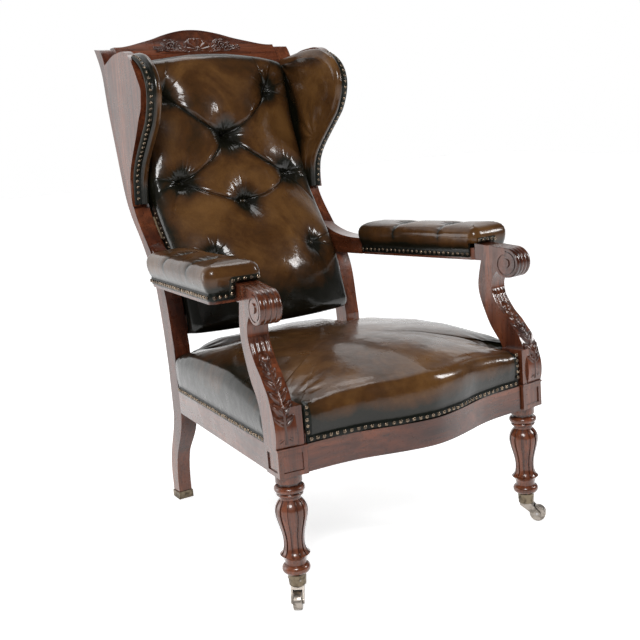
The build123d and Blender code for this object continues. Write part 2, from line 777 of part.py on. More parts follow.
with BuildPart() as arm_rail:
    with BuildSketch(plan_plane(arm_height)):
        with Locations((arm_width / 2 - arm_inner, arm_front + arm_length / 2)):
            RectangleRounded(arm_width, arm_length, arm_corner)
    extrude(amount=arm_thickness)
    add(arm_tail.part)
    with BuildSketch(side_plane(-arm_tenon / 2)):
        with Locations((arm_front, arm_height + arm_thickness / 2)):
            Rectangle(2 * arm_tenon, arm_tenon)
    extrude(amount=arm_tenon)

with BuildPart() as fitted_support:
    add(arm_support.part)
    add(arm_rail.part, mode=Mode.SUBTRACT)
    add(side_rail.part, mode=Mode.SUBTRACT)
    add(seat_front_rail.part, mode=Mode.SUBTRACT)
keep_pair(fitted_support, "arm_support")
keep_pair(arm_rail, "arm_rail")


def front_corners():
    """Both front legs and arm supports, which the upholstery is cut round."""
    with BuildPart() as corners:
        add(front_leg.part)
        add(fitted_support.part)
        mirror(about=Plane.YZ)
    return corners.part


corners_solid = front_corners()


# Arm pads: stuffing on the board and a leather cover over it
def arm_pad(extra):
    """Solid of an arm pad, grown by "extra" over its stuffing."""
    grow = arm_pad_bulge - leather + extra
    width = arm_width + 2 * grow
    length = arm_length + 2 * grow
    bottom = arm_height + arm_thickness - arm_pad_skirt
    height = arm_height + arm_thickness + arm_pad_rise - leather + extra - bottom
    with BuildPart() as pad:
        with BuildSketch(plan_plane(bottom)):
            with Locations((arm_width / 2 - arm_inner, arm_front + arm_length / 2)):
                RectangleRounded(width, length, arm_corner + grow)
        extrude(amount=height)
        fillet(pad.edges().group_by(Axis.Z)[-1], arm_pad_round + grow)
    return pad.part


def neck_notch(slack):
    """Room for the scroll's neck in the front of the arm pad, and for the arm's tail."""
    with BuildPart() as notch:
        with BuildSketch(side_plane(-support_inner - slack)):
            with Locations((arm_front - overrun, arm_height)):
                Rectangle(2 * overrun, neck_rise + slack, align=(Align.CENTER, Align.MIN))
        extrude(amount=support_width + 2 * slack)
        add(arm_rail.part)
    return notch.part


with BuildPart() as arm_stuffing:
    with BuildSketch(plan_plane(arm_height + arm_thickness + clearance)):
        with Locations((arm_width / 2 - arm_inner, arm_front + arm_length / 2)):
            RectangleRounded(2 * arm_width, 2 * arm_length, arm_corner)
    extrude(amount=arm_pad_rise)
    add(arm_pad(-clearance), mode=Mode.INTERSECT)
    add(neck_notch(clearance), mode=Mode.SUBTRACT)
keep_pair(arm_stuffing, "arm_stuffing")

with BuildPart() as arm_cover:
    add(arm_pad(leather))
    add(arm_pad(0), mode=Mode.SUBTRACT)
    add(neck_notch(0), mode=Mode.SUBTRACT)
keep_pair(arm_cover, "arm_cover")


# Wings: a wood panel tenoned before the post, padded on its inside. Their outline
# is in shares of the wing's depth before the post and of its height.
wing_shares = [(0.038, 0.944), (0.2, 0.972), (0.345, 0.994), (0.481, 1.0), (0.66, 0.994), (0.813, 0.933),
               (0.902, 0.854), (0.970, 0.781), (1.0, 0.736), (0.987, 0.694), (0.945, 0.615),
               (0.877, 0.567), (0.796, 0.497), (0.681, 0.404), (0.562, 0.309), (0.494, 0.244),
               (0.451, 0.177), (0.434, 0.112), (0.430, 0.045), (0.438, 0.0)]
wing_foot_y = reading(post_front, wing_bottom + wing_height)
flare = radians(wing_flare)
wing_back = Vector(-sin(flare), cos(flare), 0)
wing_out = Vector(cos(flare), sin(flare), 0)
wing_origin = Vector(post_x + wing_proud, wing_foot_y, wing_bottom)


def wing_plane(inset):
    """Plane of the wing, drawn in the distance behind the post's front and height."""
    return Plane(origin=wing_origin - wing_out * inset, x_dir=wing_back, z_dir=wing_out)


def wing_solid(inset, thickness):
    """Slab of the wing's outline, from "inset" inside its outer face inward."""
    with BuildPart() as slab:
        with BuildSketch(wing_plane(inset)):
            with BuildLine():
                edge = Spline([(-run * wing_depth, up * wing_height) for run, up in wing_shares])
                Polyline(edge @ 1, (post_width, 0), (post_width, (edge @ 0).Y), edge @ 0)
            make_face()
        extrude(amount=-thickness)
    return slab.part


# The leather's outline, in the same shares as the wood's
wing_leather_shares = [(0.0, 0.947), (0.217, 0.958), (0.434, 0.978), (0.634, 0.977), (0.791, 0.966),
                       (0.919, 0.930), (1.021, 0.874), (1.081, 0.803), (1.089, 0.719), (1.055, 0.635),
                       (0.970, 0.545), (0.860, 0.469), (0.749, 0.402), (0.634, 0.334), (0.519, 0.264),
                       (0.451, 0.194), (0.426, 0.121), (0.415, 0.008)]


def wing_outline(inset, grow):
    """The leather's outline on a plane of the wing, grown about the wing's middle."""
    across = 1 + 2 * grow / wing_depth
    upward = 1 + 2 * grow / wing_height
    points = [(wing_depth * ((0.5 - run) * across - 0.5), wing_height * ((up - 0.5) * upward + 0.5))
              for run, up in wing_leather_shares]
    with BuildSketch(wing_plane(inset)) as outline:
        with BuildLine():
            edge = Spline(points)
            Polyline(edge @ 1, (post_width, (edge @ 1).Y), (post_width, (edge @ 0).Y), edge @ 0)
        make_face()
    return outline.sketch


def wing_leather(extra):
    """Solid of the wing's upholstery, over the wood's front edge, grown by "extra"."""
    inner = wing_thickness + wing_pad + extra
    with BuildPart() as padding:
        loft([wing_outline(wing_lip - extra, extra), wing_outline(inner - wing_pad_round, extra),
              wing_outline(inner, extra - wing_pad_round)], ruled=True)
    return padding.part


with BuildPart() as wing_panel:
    add(wing_solid(0, wing_thickness))
    add(behind_wing, mode=Mode.SUBTRACT)
keep_pair(wing_panel, "wing_panel")

with BuildPart() as wing_stuffing:
    add(wing_leather(-leather - clearance))
    add(wing_solid(-clearance, wing_thickness + 2 * clearance), mode=Mode.SUBTRACT)
    add(behind_wing, mode=Mode.SUBTRACT)
keep_pair(wing_stuffing, "wing_stuffing")

with BuildPart() as wing_cover:
    add(wing_leather(0))
    add(wing_leather(-leather), mode=Mode.SUBTRACT)
    add(wing_solid(0, wing_thickness), mode=Mode.SUBTRACT)
    add(behind_wing, mode=Mode.SUBTRACT)
keep_pair(wing_cover, "wing_cover")


# Back frame between the posts. The crest's top is in shares of its half length
# and of its rise over the posts' tops.
crest_shares = [(-1.0, 0.0), (-0.89, 0.02), (-0.76, 0.15), (-0.64, 0.30), (-0.50, 0.48), (-0.38, 0.68),
                (-0.25, 0.85), (-0.13, 0.96), (0.0, 1.0), (0.13, 0.96), (0.25, 0.85), (0.38, 0.68),
                (0.50, 0.48), (0.64, 0.30), (0.76, 0.15), (0.89, 0.02), (1.0, 0.0)]
# Side view of the crest's front, in the same shares as the posts' outlines
crest_front_shares = back_front_shares[-4:] + [(0.928, 1.011), (1.0, 1.042)]
crest_shoulder = post_height - back_gap

with BuildPart() as crest_rail:
    with BuildSketch(Plane.YZ.offset(-post_inner_x)):
        with BuildLine():
            crest_face = Spline(post_points(crest_front_shares))
            offset_2d = Spline([(y + crest_thickness, z) for y, z in post_points(crest_front_shares)])
            Line(crest_face @ 0, offset_2d @ 0)
            Line(crest_face @ 1, offset_2d @ 1)
        make_face()
    extrude(amount=2 * post_inner_x)
    with BuildSketch(Plane.XZ):
        with BuildLine():
            crown_line = Spline([(run * post_inner_x, crest_shoulder + up * (crest_peak - crest_shoulder))
                                 for run, up in crest_shares])
            Polyline(crown_line @ 1, (post_inner_x, crest_bottom), (-post_inner_x, crest_bottom),
                     crown_line @ 0)
        make_face()
    extrude(amount=-seat_depth - 2 * back_run, mode=Mode.INTERSECT)
    add(crest_tenon(0))
keep(crest_rail, "crest_rail")

with BuildPart() as back_bottom_rail:
    with BuildSketch(Plane.XY.offset(lower_rail_bottom)):
        with Locations((0, lower_rail_y)):
            Rectangle(2 * post_inner_x, lower_rail_thickness)
    extrude(amount=lower_rail_height)
    add(lower_tenon(0))
keep(back_bottom_rail, "back_bottom_rail")


# Tufted back. Its crown before the posts' line is in shares of the back's height
# and of the crown; its buttons are in shares of half its width, its height and a tuft.
crown_shares = [(0.0, 0.75), (0.16, 1.3), (0.3, 1.45), (0.45, 1.35), (0.6, 1.05), (0.75, 0.9), (0.9, 0.75),
                (1.0, 0.4)]
top_arch_shares = [(-1.0, 0.0), (-0.82, 0.33), (-0.56, 0.67), (-0.22, 1.0), (0.22, 1.0), (0.56, 0.67),
                   (0.82, 0.33), (1.0, 0.0)]
button_shares = [(-0.653, 0.849, 0.6), (0.653, 0.849, 0.6), (0.0, 0.686, 1.0), (-0.668, 0.526, 0.85),
                 (0.668, 0.526, 0.85), (0.0, 0.441, 0.9), (-0.614, 0.261, 0.5), (0.614, 0.261, 0.5)]
pleat_pairs = [(0, 2), (1, 2), (2, 3), (2, 4), (3, 5), (4, 5), (5, 6), (5, 7)]
back_bottom = seat_crown - back_seat_gap / 2
back_side_top = crest_peak - crest_drop + crest_tenon_height
back_arch = crest_thickness
back_height = back_side_top + back_arch - back_bottom
back_half = post_inner_x - back_gap
back_rear = webbing_thickness + 2 * clearance


def back_line(z):
    return reading(post_front, z)


def back_front(x, z):
    """Front surface of the back before its tufts, near enough for the buttons."""
    crown = reading([(share * back_crown, up) for up, share in crown_shares], (z - back_bottom) / back_height)
    return back_line(z) - back_proud - crown * (1 - (x / (back_half - back_corner)) ** 2)


def back_pad(extra, rear):
    """Solid of the back's upholstery, grown by "extra", reaching "rear" behind the posts' line."""
    half = back_half + extra
    with BuildPart() as pad:
        for up, share in crown_shares:
            z = back_bottom - extra + up * (back_height + 2 * extra)
            line = back_line(z)
            front = line - back_proud - extra
            bend = (back_corner + extra) * (1 - sqrt(0.5))
            with BuildSketch(Plane.XY.offset(z)):
                with BuildLine():
                    ThreePointArc((half - back_corner, front), (0, front - share * back_crown),
                                  (-half + back_corner, front))
                    ThreePointArc((-half + back_corner, front), (-half + bend, front + bend),
                                  (-half, front + back_corner))
                    Polyline((-half, front + back_corner), (-half, line + rear),
                             (half, line + rear), (half, front + back_corner))
                    ThreePointArc((half, front + back_corner), (half - bend, front + bend),
                                  (half - back_corner, front))
                make_face()
        loft()
        with BuildSketch(Plane.XZ):
            with BuildLine():
                arch = Spline([(run * half, back_side_top + extra + up * back_arch)
                               for run, up in top_arch_shares])
                Polyline(arch @ 1, (half, back_bottom - overrun), (-half, back_bottom - overrun), arch @ 0)
            make_face()
        extrude(amount=-seat_depth - 2 * back_run, mode=Mode.INTERSECT)
    return pad.part


def tuft_plane(number):
    """Plane at a button's seat, facing straight out of the back."""
    across, up, depth = button_shares[number]
    x = across * back_half
    z = back_bottom + up * back_height
    step = back_height / len(crown_shares)
    facing = Vector(0, -1, (back_line(z + step) - back_line(z - step)) / (2 * step)).normalized()
    seat = Vector(x, back_front(x, z), z) - facing * depth * tuft_depth
    return Plane(origin=seat, x_dir=(1, 0, 0), z_dir=facing)


def tuft_cutter(extra):
    """Flared hollow above a button's seat, grown by "extra"."""
    seat = button_radius + button_rim + extra
    with BuildPart() as hollow:
        with BuildSketch(Plane.XZ):
            with BuildLine():
                Polyline((0, tuft_depth + overrun), (0, -extra), (seat, -extra))
                Spline((seat, -extra), (tuft_radius + extra, tuft_depth), tangents=[(1, 3), (1, 1)])
                Polyline((tuft_radius + extra, tuft_depth), (tuft_radius + extra + overrun, tuft_depth + overrun),
                         (0, tuft_depth + overrun))
            make_face()
        revolve(axis=Axis.Z)
    return hollow.part


def pleat_cutter(first, last, extra):
    """Wedge between two buttons, opening outward, grown by "extra"."""
    start = tuft_plane(first)
    end = tuft_plane(last)
    heading = (end.origin - start.origin).normalized()
    side = start.z_dir.cross(heading).normalized()
    apex = tuft_depth - pleat_depth
    mouth = (pleat_depth + overrun) * tan(radians(pleat_half_angle))
    with BuildPart() as wedge:
        with BuildSketch(Plane(origin=start.origin, x_dir=side, z_dir=heading)):
            with BuildLine():
                Polyline((-extra - clearance, apex - extra), (extra + clearance, apex - extra),
                         (mouth + extra, tuft_depth + overrun), (-mouth - extra, tuft_depth + overrun),
                         close=True)
            make_face()
        extrude(amount=(end.origin - start.origin).length)
    return wedge.part


def tufted(extra, rear):
    """The back's upholstery with its buttons' hollows and the pleats between them."""
    with BuildPart() as body:
        add(back_pad(extra, rear))
        for number in range(len(button_shares)):
            add(tuft_cutter(-extra).moved(tuft_plane(number).location), mode=Mode.SUBTRACT)
        for first, last in pleat_pairs:
            add(pleat_cutter(first, last, -extra), mode=Mode.SUBTRACT)
    return body.part


back_cavity = tufted(-leather, 2 * overrun)
behind_back = behind_stiles(-post_spacing, back_rear)
with BuildPart() as back_cover:
    add(tufted(0, overrun))
    add(back_cavity, mode=Mode.SUBTRACT)
    add(behind_back, mode=Mode.SUBTRACT)
keep(back_cover, "back_cover")

with BuildPart() as button:
    with Locations((0, 0, clearance)):
        Cylinder(button_radius, button_height, align=(Align.CENTER, Align.CENTER, Align.MIN))
    fillet(button.edges().group_by(Axis.Z)[-1], button_height - button_rim)

with BuildPart() as back_buttons:
    with Locations(*[tuft_plane(number) for number in range(len(button_shares))]):
        add(button.part)
keep(back_buttons, "back_buttons")

# Webbing over the front of the back's two rails, and the stuffing before it
with BuildPart() as back_stuffing:
    add(back_cavity)
    add(behind_back, mode=Mode.SUBTRACT)
keep(back_stuffing, "back_stuffing")

back_web_rows = 4
web_low = lower_rail_bottom + clearance
web_high = crest_bottom + crest_tenon_height / 2
with BuildPart() as back_webbing:
    with BuildSketch(Plane.XZ):
        with Locations((0, (web_low + web_high) / 2)):
            with GridLocations(2 * webbing_width, 0, 3, 1):
                Rectangle(webbing_width, web_high - web_low)
            with GridLocations(0, (web_high - web_low) / (back_web_rows + 1), 1, back_web_rows):
                Rectangle(2 * post_inner_x - 2 * clearance, webbing_width)
    extrude(amount=-seat_depth - back_run)
    add(behind_stiles(-post_spacing, clearance), mode=Mode.SUBTRACT)
    add(behind_stiles(-post_spacing, clearance + webbing_thickness), mode=Mode.INTERSECT)
    add(crest_rail.part, mode=Mode.SUBTRACT)
keep(back_webbing, "back_webbing")

# Leather panel over the back of the frame, between the posts
with BuildPart() as outside_back:
    with BuildSketch(Plane.YZ.offset(-post_inner_x + clearance)):
        with BuildLine():
            upper_rear = [point for point in post_points(back_rear_shares)
                          if lower_rail_bottom < point[1] < crest_bottom + crest_tenon_height]
            skin = Spline([(y - back_panel, z) for y, z in upper_rear])
            core = Spline([(y - 2 * back_panel, z) for y, z in upper_rear])
            Line(skin @ 0, core @ 0)
            Line(skin @ 1, core @ 1)
        make_face()
    extrude(amount=2 * (post_inner_x - clearance))
    add(crest_rail.part, mode=Mode.SUBTRACT)
keep(outside_back, "outside_back")


# Seat upholstery: offsets of its outline from the rails' face, in shares of the
# seat's bulge, at heights in shares of its whole height
seat_shares = [(0.0, -0.4), (0.1, -0.3), (0.27, 0.8), (0.5, 1.0), (0.7, 0.0), (0.84, -3.0), (0.93, -7.5),
               (0.98, -14.0), (1.0, -22.0)]
seat_rear = rear_rail_front + rail_thickness / 2
bow_run = bow_shares[2][0]
bow_rise = bow_shares[2][1]


def seat_outline(z, bulge, extra):
    """Closed plan outline of the seat: a bowed front, two splayed sides and a straight rear."""
    grow = bulge + extra
    front_corner = at(-rail_out - grow, rail_out + grow, 0)
    rear_corner = at(t_of(seat_rear + min(bulge, 0) + extra, rail_out + grow), rail_out + grow, 0)
    turn_x = -bow_run * front_half
    turn_y = -rail_out - bow_rise * front_bow - grow
    with BuildSketch(Plane.XY.offset(z)) as outline:
        with BuildLine():
            ThreePointArc((-turn_x, turn_y), (0, -rail_out - front_bow - grow), (turn_x, turn_y))
            Polyline((turn_x, turn_y), (front_corner.X, front_corner.Y), (rear_corner.X, rear_corner.Y),
                     (-rear_corner.X, rear_corner.Y), (-front_corner.X, front_corner.Y), (-turn_x, turn_y))
        make_face()
    return outline.sketch


def seat_pad(extra, start):
    """Solid of the seat's upholstery, grown by "extra", with its lower edge at "start"."""
    height = seat_crown - show_top + extra
    levels = [start] + [show_top + up * height for up, share in seat_shares[1:]]
    with BuildPart() as pad:
        loft([seat_outline(z, share * seat_bulge, extra) for z, (up, share) in zip(levels, seat_shares)],
             ruled=True)
    return pad.part


def seat_notches(slack):
    """The posts and the bases of the arm supports, which the upholstery is cut round."""
    with BuildPart() as notches:
        reach = base_half + slack
        for start, inner, back in ((rail_bottom, base_inner + slack, reach),
                                   (block_top + base_height, support_inner + slack, 2 * reach)):
            with BuildSketch(plan_plane(start)):
                with Locations((-inner, back)):
                    Rectangle(inner + block_size, back + block_size, align=(Align.MIN, Align.MAX))
            extrude(amount=seat_crown - rail_bottom)
        with BuildSketch(Plane.XY.offset(rail_bottom)):
            with Locations((post_x, seat_depth - slack)):
                Rectangle(2 * (post_width + slack), 2 * post_width, align=(Align.CENTER, Align.MIN))
        extrude(amount=seat_crown - rail_bottom + overrun)
        mirror(about=Plane.YZ)
    return notches.part


def frame_rails():
    """All four seat rails as one cutting solid."""
    with BuildPart() as rails:
        add(side_rail.part)
        mirror(about=Plane.YZ)
        add(seat_front_rail.part)
        add(seat_rear_rail.part)
    return rails.part


rails_solid = frame_rails()
with BuildPart() as seat_cover:
    add(seat_pad(0, show_top))
    add(seat_pad(-seat_hide, show_top - overrun), mode=Mode.SUBTRACT)
    add(rails_solid, mode=Mode.SUBTRACT)
    add(seat_notches(0), mode=Mode.SUBTRACT)
    add(corners_solid, mode=Mode.SUBTRACT)
keep(seat_cover, "seat_cover")

with BuildPart() as seat_stuffing:
    with BuildSketch(Plane.XY.offset(rail_top + hessian + clearance)):
        Rectangle(4 * leg_x, 4 * seat_depth)
    extrude(amount=seat_crown - rail_top)
    add(seat_pad(-seat_hide - clearance, show_top), mode=Mode.INTERSECT)
    add(seat_notches(leather), mode=Mode.SUBTRACT)
    add(corners_solid, mode=Mode.SUBTRACT)
keep(seat_stuffing, "seat_stuffing")

with BuildPart() as seat_hessian:
    extrude(seat_outline(rail_top, -rail_thickness / 2, 0), amount=hessian)
    add(seat_notches(leather), mode=Mode.SUBTRACT)
keep(seat_hessian, "seat_hessian")


def opening(z, height):
    """The space between the rails, as far as the step in their lower edges."""
    inset = rail_thickness - web_rebate + clearance
    with BuildPart() as space:
        with BuildSketch(Plane.XY.offset(z)):
            with BuildLine():
                front_y = front_rail_back - web_rebate + clearance
                rear_y = rear_rail_front + web_rebate - clearance
                front = at(t_of(front_y, rail_out - inset), rail_out - inset, 0)
                rear = at(t_of(rear_y, rail_out - inset), rail_out - inset, 0)
                Polyline((front.X, front_y), (rear.X, rear_y), (-rear.X, rear_y), (-front.X, front_y), close=True)
            make_face()
        extrude(amount=height)
        add(seat_notches(0), mode=Mode.SUBTRACT)
    return space.part


spring_middle = (front_rail_back + rear_rail_front) / 2
with BuildPart() as seat_webbing:
    with BuildSketch(Plane.XY.offset(web_top - webbing_thickness)):
        with GridLocations(spring_spacing, 0, spring_rows, 1):
            Rectangle(webbing_width, 4 * seat_depth)
        with Locations((0, spring_middle)):
            with GridLocations(0, spring_spacing, 1, spring_rows):
                Rectangle(4 * leg_x, webbing_width)
    extrude(amount=webbing_thickness)
    add(opening(web_top - webbing_thickness, webbing_thickness), mode=Mode.INTERSECT)
keep(seat_webbing, "seat_webbing")

with BuildPart() as dust_cover:
    add(opening(web_top - webbing_thickness - clearance - dust_cloth, dust_cloth))
    add(corners_solid, mode=Mode.SUBTRACT)
keep(dust_cover, "dust_cover")

spring_bottom = web_top + clearance + spring_wire
spring_pitch = (rail_top - clearance - spring_wire - spring_bottom) / spring_turns
with BuildPart() as spring:
    with BuildLine():
        coil = Helix(spring_pitch, spring_pitch * spring_turns, spring_radius)
    with BuildSketch(Plane(origin=coil @ 0, z_dir=coil % 0)):
        Circle(spring_wire)
    sweep(path=coil.edge(), is_frenet=True)

with BuildPart() as seat_springs:
    with Locations((0, spring_middle, spring_bottom)):
        with GridLocations(spring_spacing, spring_spacing, spring_rows, spring_rows):
            add(spring.part)
keep(seat_springs, "seat_springs")
print("least gap between a spring's turns:", round(spring_pitch - 2 * spring_wire, 2))


# Leather band and brass nails along the seat's lower edge
nail_line = show_top + band_height / 2
nail_grow = seat_shares[1][1] * seat_bulge

with BuildPart() as seat_banding:
    extrude(seat_outline(show_top + clearance, nail_grow, band_thickness), amount=band_height)
    add(seat_pad(0, show_top - overrun), mode=Mode.SUBTRACT)
    add(seat_notches(0), mode=Mode.SUBTRACT)
    add(rails_solid, mode=Mode.SUBTRACT)
    with BuildSketch(Plane.XY.offset(show_top)):
        with Locations((0, seat_rear - post_width)):
            Rectangle(4 * leg_x, 4 * post_width, align=(Align.CENTER, Align.MIN))
    extrude(amount=2 * band_height, mode=Mode.SUBTRACT)
    add(corners_solid, mode=Mode.SUBTRACT)
keep(seat_banding, "seat_banding")

dome_radius = (nail_radius ** 2 + nail_rise ** 2) / (2 * nail_rise)
with BuildPart() as nail:
    with Locations((0, 0, nail_rise - dome_radius)):
        Sphere(dome_radius)
    split(bisect_by=Plane.XY, keep=Keep.TOP)


def nails_along(edge, outward_of, first, last):
    """Planes of evenly spaced nails along an edge, from length "first" to "last"."""
    count = int((last - first) / nail_pitch)
    step = (last - first) / count
    planes = []
    for number in range(count + 1):
        share = (first + number * step) / edge.length
        planes.append(Plane(origin=edge @ share, z_dir=outward_of(edge % share)))
    return planes


def level_outward(tangent):
    """Outward from a level line whose outside lies to the right of its run."""
    return tangent.cross(Vector(0, 0, 1))


nail_out = rail_out + nail_grow + band_thickness + clearance
side_start = at(base_half + nail_radius, nail_out, nail_line)
side_end = at(t_of(seat_depth - nail_radius, nail_out), nail_out, nail_line)
side_line = Edge.make_line(side_start, side_end)
bow_grow = nail_grow + band_thickness + clearance
bow_turn = Vector(-bow_run * front_half, -rail_out - bow_rise * front_bow - bow_grow, nail_line)
bow_mid = Vector(0, -rail_out - front_bow - bow_grow, nail_line)
bow_line = Edge.make_three_point_arc(Vector(-bow_turn.X, bow_turn.Y, nail_line), bow_mid, bow_turn)
bow_corner = at(-rail_out - bow_grow, rail_out + bow_grow, nail_line)
bow_end = Edge.make_line(bow_turn, bow_corner)
bow_stop = bow_end.length * (front_half - nail_radius - bow_turn.X) / (bow_corner.X - bow_turn.X)

with BuildPart() as seat_nails:
    with Locations(*nails_along(side_line, level_outward, 0, side_line.length),
                   *nails_along(bow_end, level_outward, nail_pitch, bow_stop)):
        add(nail.part)
    mirror(about=Plane.YZ)
    with Locations(*nails_along(bow_line, level_outward, 0, bow_line.length)):
        add(nail.part)
    add(seat_banding.part, mode=Mode.SUBTRACT)
    add(corners_solid, mode=Mode.SUBTRACT)
keep(seat_nails, "seat_nails")

# Nails round the arm pads, over their outer sides, inner sides and fronts
arm_nail_z = arm_height + arm_thickness - arm_pad_skirt + nail_radius + clearance
arm_grow = arm_pad_bulge + clearance
arm_sides = ((arm_width - arm_inner + arm_grow, arm_front + arm_corner, arm_end - arm_corner),
             (-arm_inner - arm_grow, arm_end - arm_corner, arm_front + arm_corner))
with BuildPart() as arm_nails:
    for out, start, stop in arm_sides:
        run = Edge.make_line(at(start, out, arm_nail_z), at(stop, out, arm_nail_z))
        with Locations(*nails_along(run, level_outward, 0, run.length)):
            add(nail.part)
    front_row = Edge.make_line(at(arm_front - arm_grow, support_outer + nail_radius, arm_nail_z),
                               at(arm_front - arm_grow, arm_width - arm_inner - arm_corner, arm_nail_z))
    with Locations(*nails_along(front_row, level_outward, nail_radius, front_row.length)):
        add(nail.part)
keep_pair(arm_nails, "arm_nails")

# Nails along the front of the wings' leather, beside the bare lip of the wood
with BuildPart() as wing_nails:
    nail_inset = wing_lip + band_height / 2
    with BuildLine(wing_plane(nail_inset)) as roll_line:
        Spline([(-run * wing_depth, up * wing_height) for run, up in wing_leather_shares])
    roll = roll_line.edges()[0]
    spots = nails_along(roll, lambda tangent: tangent.cross(wing_out), nail_pitch, roll.length - nail_pitch)
    with Locations(*[spot.offset(clearance) for spot in spots]):
        add(nail.part)
    add(wing_panel.part, mode=Mode.SUBTRACT)
keep_pair(wing_nails, "wing_nails")

# Nails down the back's sides, before the posts and below the wings
with BuildPart() as back_nails:
    side_x = back_half + clearance
    rows = int((wing_bottom - arm_height - arm_thickness) / nail_pitch)
    spots = []
    for number in range(rows):
        z = wing_bottom - (number + 1) * nail_pitch
        spots.append(Plane(origin=(side_x, back_line(z) - back_proud / 2, z), z_dir=(1, 0, 0)))
    with Locations(*spots):
        add(nail.part)
    mirror(about=Plane.YZ)
keep(back_nails, "back_nails")


# Lean the finished chair back, set it on the floor and centre it front to back
leaned = Location((0, 0, -floor_offset)) * Location((0, 0, 0), (-lean_angle, 0, 0))
boxes = [piece.moved(leaned).bounding_box() for piece in pieces.values()]
front_most = min(box.min.Y for box in boxes)
rear_most = max(box.max.Y for box in boxes)
standing = Location((0, -(front_most + rear_most) / 2, 0)) * leaned

for label, piece in pieces.items():
    placed = piece.moved(standing)
    placed.label = label
    export_step(placed, "parts/" + label + ".step")

swivel = standing * Location(leg_foot)
axle = standing * Location(wheel_centre)
print("swivel point", swivel.position, "axle point", axle.position)
print("whole chair", round(rear_most - front_most, 1), "deep and",
      round(max(box.max.Z for box in boxes) - min(box.min.Z for box in boxes), 1), "high")
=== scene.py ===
"""Looks of a leather wing chair with a mahogany show frame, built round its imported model.

New pieces are drawn in millimetres on the bench, where the seat rails lie level,
and are then stood back by the chair's lean, which puts them in the model's frame.
"""
import json
from math import cos, pi, radians, sin

import bpy
import numpy as np
from mathutils import Matrix, Vector


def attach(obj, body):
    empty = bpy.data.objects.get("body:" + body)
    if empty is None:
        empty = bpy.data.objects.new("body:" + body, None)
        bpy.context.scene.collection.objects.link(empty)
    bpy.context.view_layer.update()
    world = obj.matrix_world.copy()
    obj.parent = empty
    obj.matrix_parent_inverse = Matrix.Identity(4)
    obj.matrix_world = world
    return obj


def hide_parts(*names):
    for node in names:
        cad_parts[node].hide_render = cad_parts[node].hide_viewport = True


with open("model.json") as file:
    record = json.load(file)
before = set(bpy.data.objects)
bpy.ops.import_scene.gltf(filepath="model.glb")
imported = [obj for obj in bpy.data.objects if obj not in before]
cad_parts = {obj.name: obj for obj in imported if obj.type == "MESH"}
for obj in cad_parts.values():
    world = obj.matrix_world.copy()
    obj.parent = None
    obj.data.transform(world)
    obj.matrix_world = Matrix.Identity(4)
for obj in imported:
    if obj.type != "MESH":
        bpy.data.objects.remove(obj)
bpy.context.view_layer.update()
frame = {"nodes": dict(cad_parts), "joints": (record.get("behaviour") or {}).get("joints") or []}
nodes = frame["nodes"]


# Camera: it stands before the chair's left corner and looks down a little. It was
# fitted on the bench, and the bench is tipped back by the chair's lean about the
# point where the right caster swivels.
LEAN = radians(3.0)
YAW, PITCH, ROLL = radians(32.18), radians(10.38), radians(-4.61)
EYE = (-1.1832, -1.5556, 0.8779)
FOCAL_PIXELS = 990.65
FRAME_PIXELS = 640
SENSOR = 36.0
swivel = next(j for j in frame["joints"] if j["name"] == "caster_swivel_right")["pos_m"]
stand = Matrix.Translation((0, swivel[1], swivel[2])) @ Matrix.Rotation(-LEAN, 4, "X")
forward = Vector((sin(YAW) * cos(PITCH), cos(YAW) * cos(PITCH), -sin(PITCH)))
level = Vector((cos(YAW), -sin(YAW), 0))
upright = level.cross(forward)
across = level * cos(ROLL) + upright * sin(ROLL)
upward = upright * cos(ROLL) - level * sin(ROLL)
camera_data = bpy.data.cameras.new("camera")
camera_data.sensor_width = SENSOR
camera_data.lens = FOCAL_PIXELS / FRAME_PIXELS * SENSOR
camera = bpy.data.objects.new("camera", camera_data)
bpy.context.scene.collection.objects.link(camera)
facing = Matrix((across, upward, -forward)).transposed().to_4x4()
camera.matrix_world = stand @ Matrix.Translation(EYE) @ facing
bpy.context.scene.camera = camera
bpy.context.scene.view_settings.view_transform = "Standard"


# Studio: white paper runs under and behind the chair, bright enough at the back for
# the polish to show it, and four soft boxes stand round. The paper keeps the shadow.
PAPER_GLOW = 0.62
PAPER_REACH = 9


def feed(tree, socket, value):
    """Set one input of a node, or link it where the value is another node's socket."""
    if isinstance(value, bpy.types.NodeSocket):
        tree.links.new(value, socket)
    elif socket.type == "RGBA":
        socket.default_value = (*value[:3], 1.0)
    else:
        socket.default_value = value


def add_node(tree, kind, **values):
    """Node of a tree with its inputs and properties set by name."""
    node = tree.nodes.new(kind)
    for key, value in values.items():
        if key in node.inputs:
            feed(tree, node.inputs[key], value)
        else:
            setattr(node, key, value)
    return node


def remap(tree, value, low_in, high_in, low_out, high_out, smooth=True):
    """Value moved from one range to another."""
    node = add_node(tree, "ShaderNodeMapRange", interpolation_type="SMOOTHSTEP" if smooth else "LINEAR")
    numbers = {"Value": value, "From Min": low_in, "From Max": high_in, "To Min": low_out, "To Max": high_out}
    for key, number in numbers.items():
        feed(tree, node.inputs[key], number)
    return node.outputs["Result"]


def maths(tree, operation, first, second):
    """Sum, product or other operation on sockets or numbers."""
    node = add_node(tree, "ShaderNodeMath", operation=operation)
    feed(tree, node.inputs[0], first)
    feed(tree, node.inputs[1], second)
    return node.outputs[0]


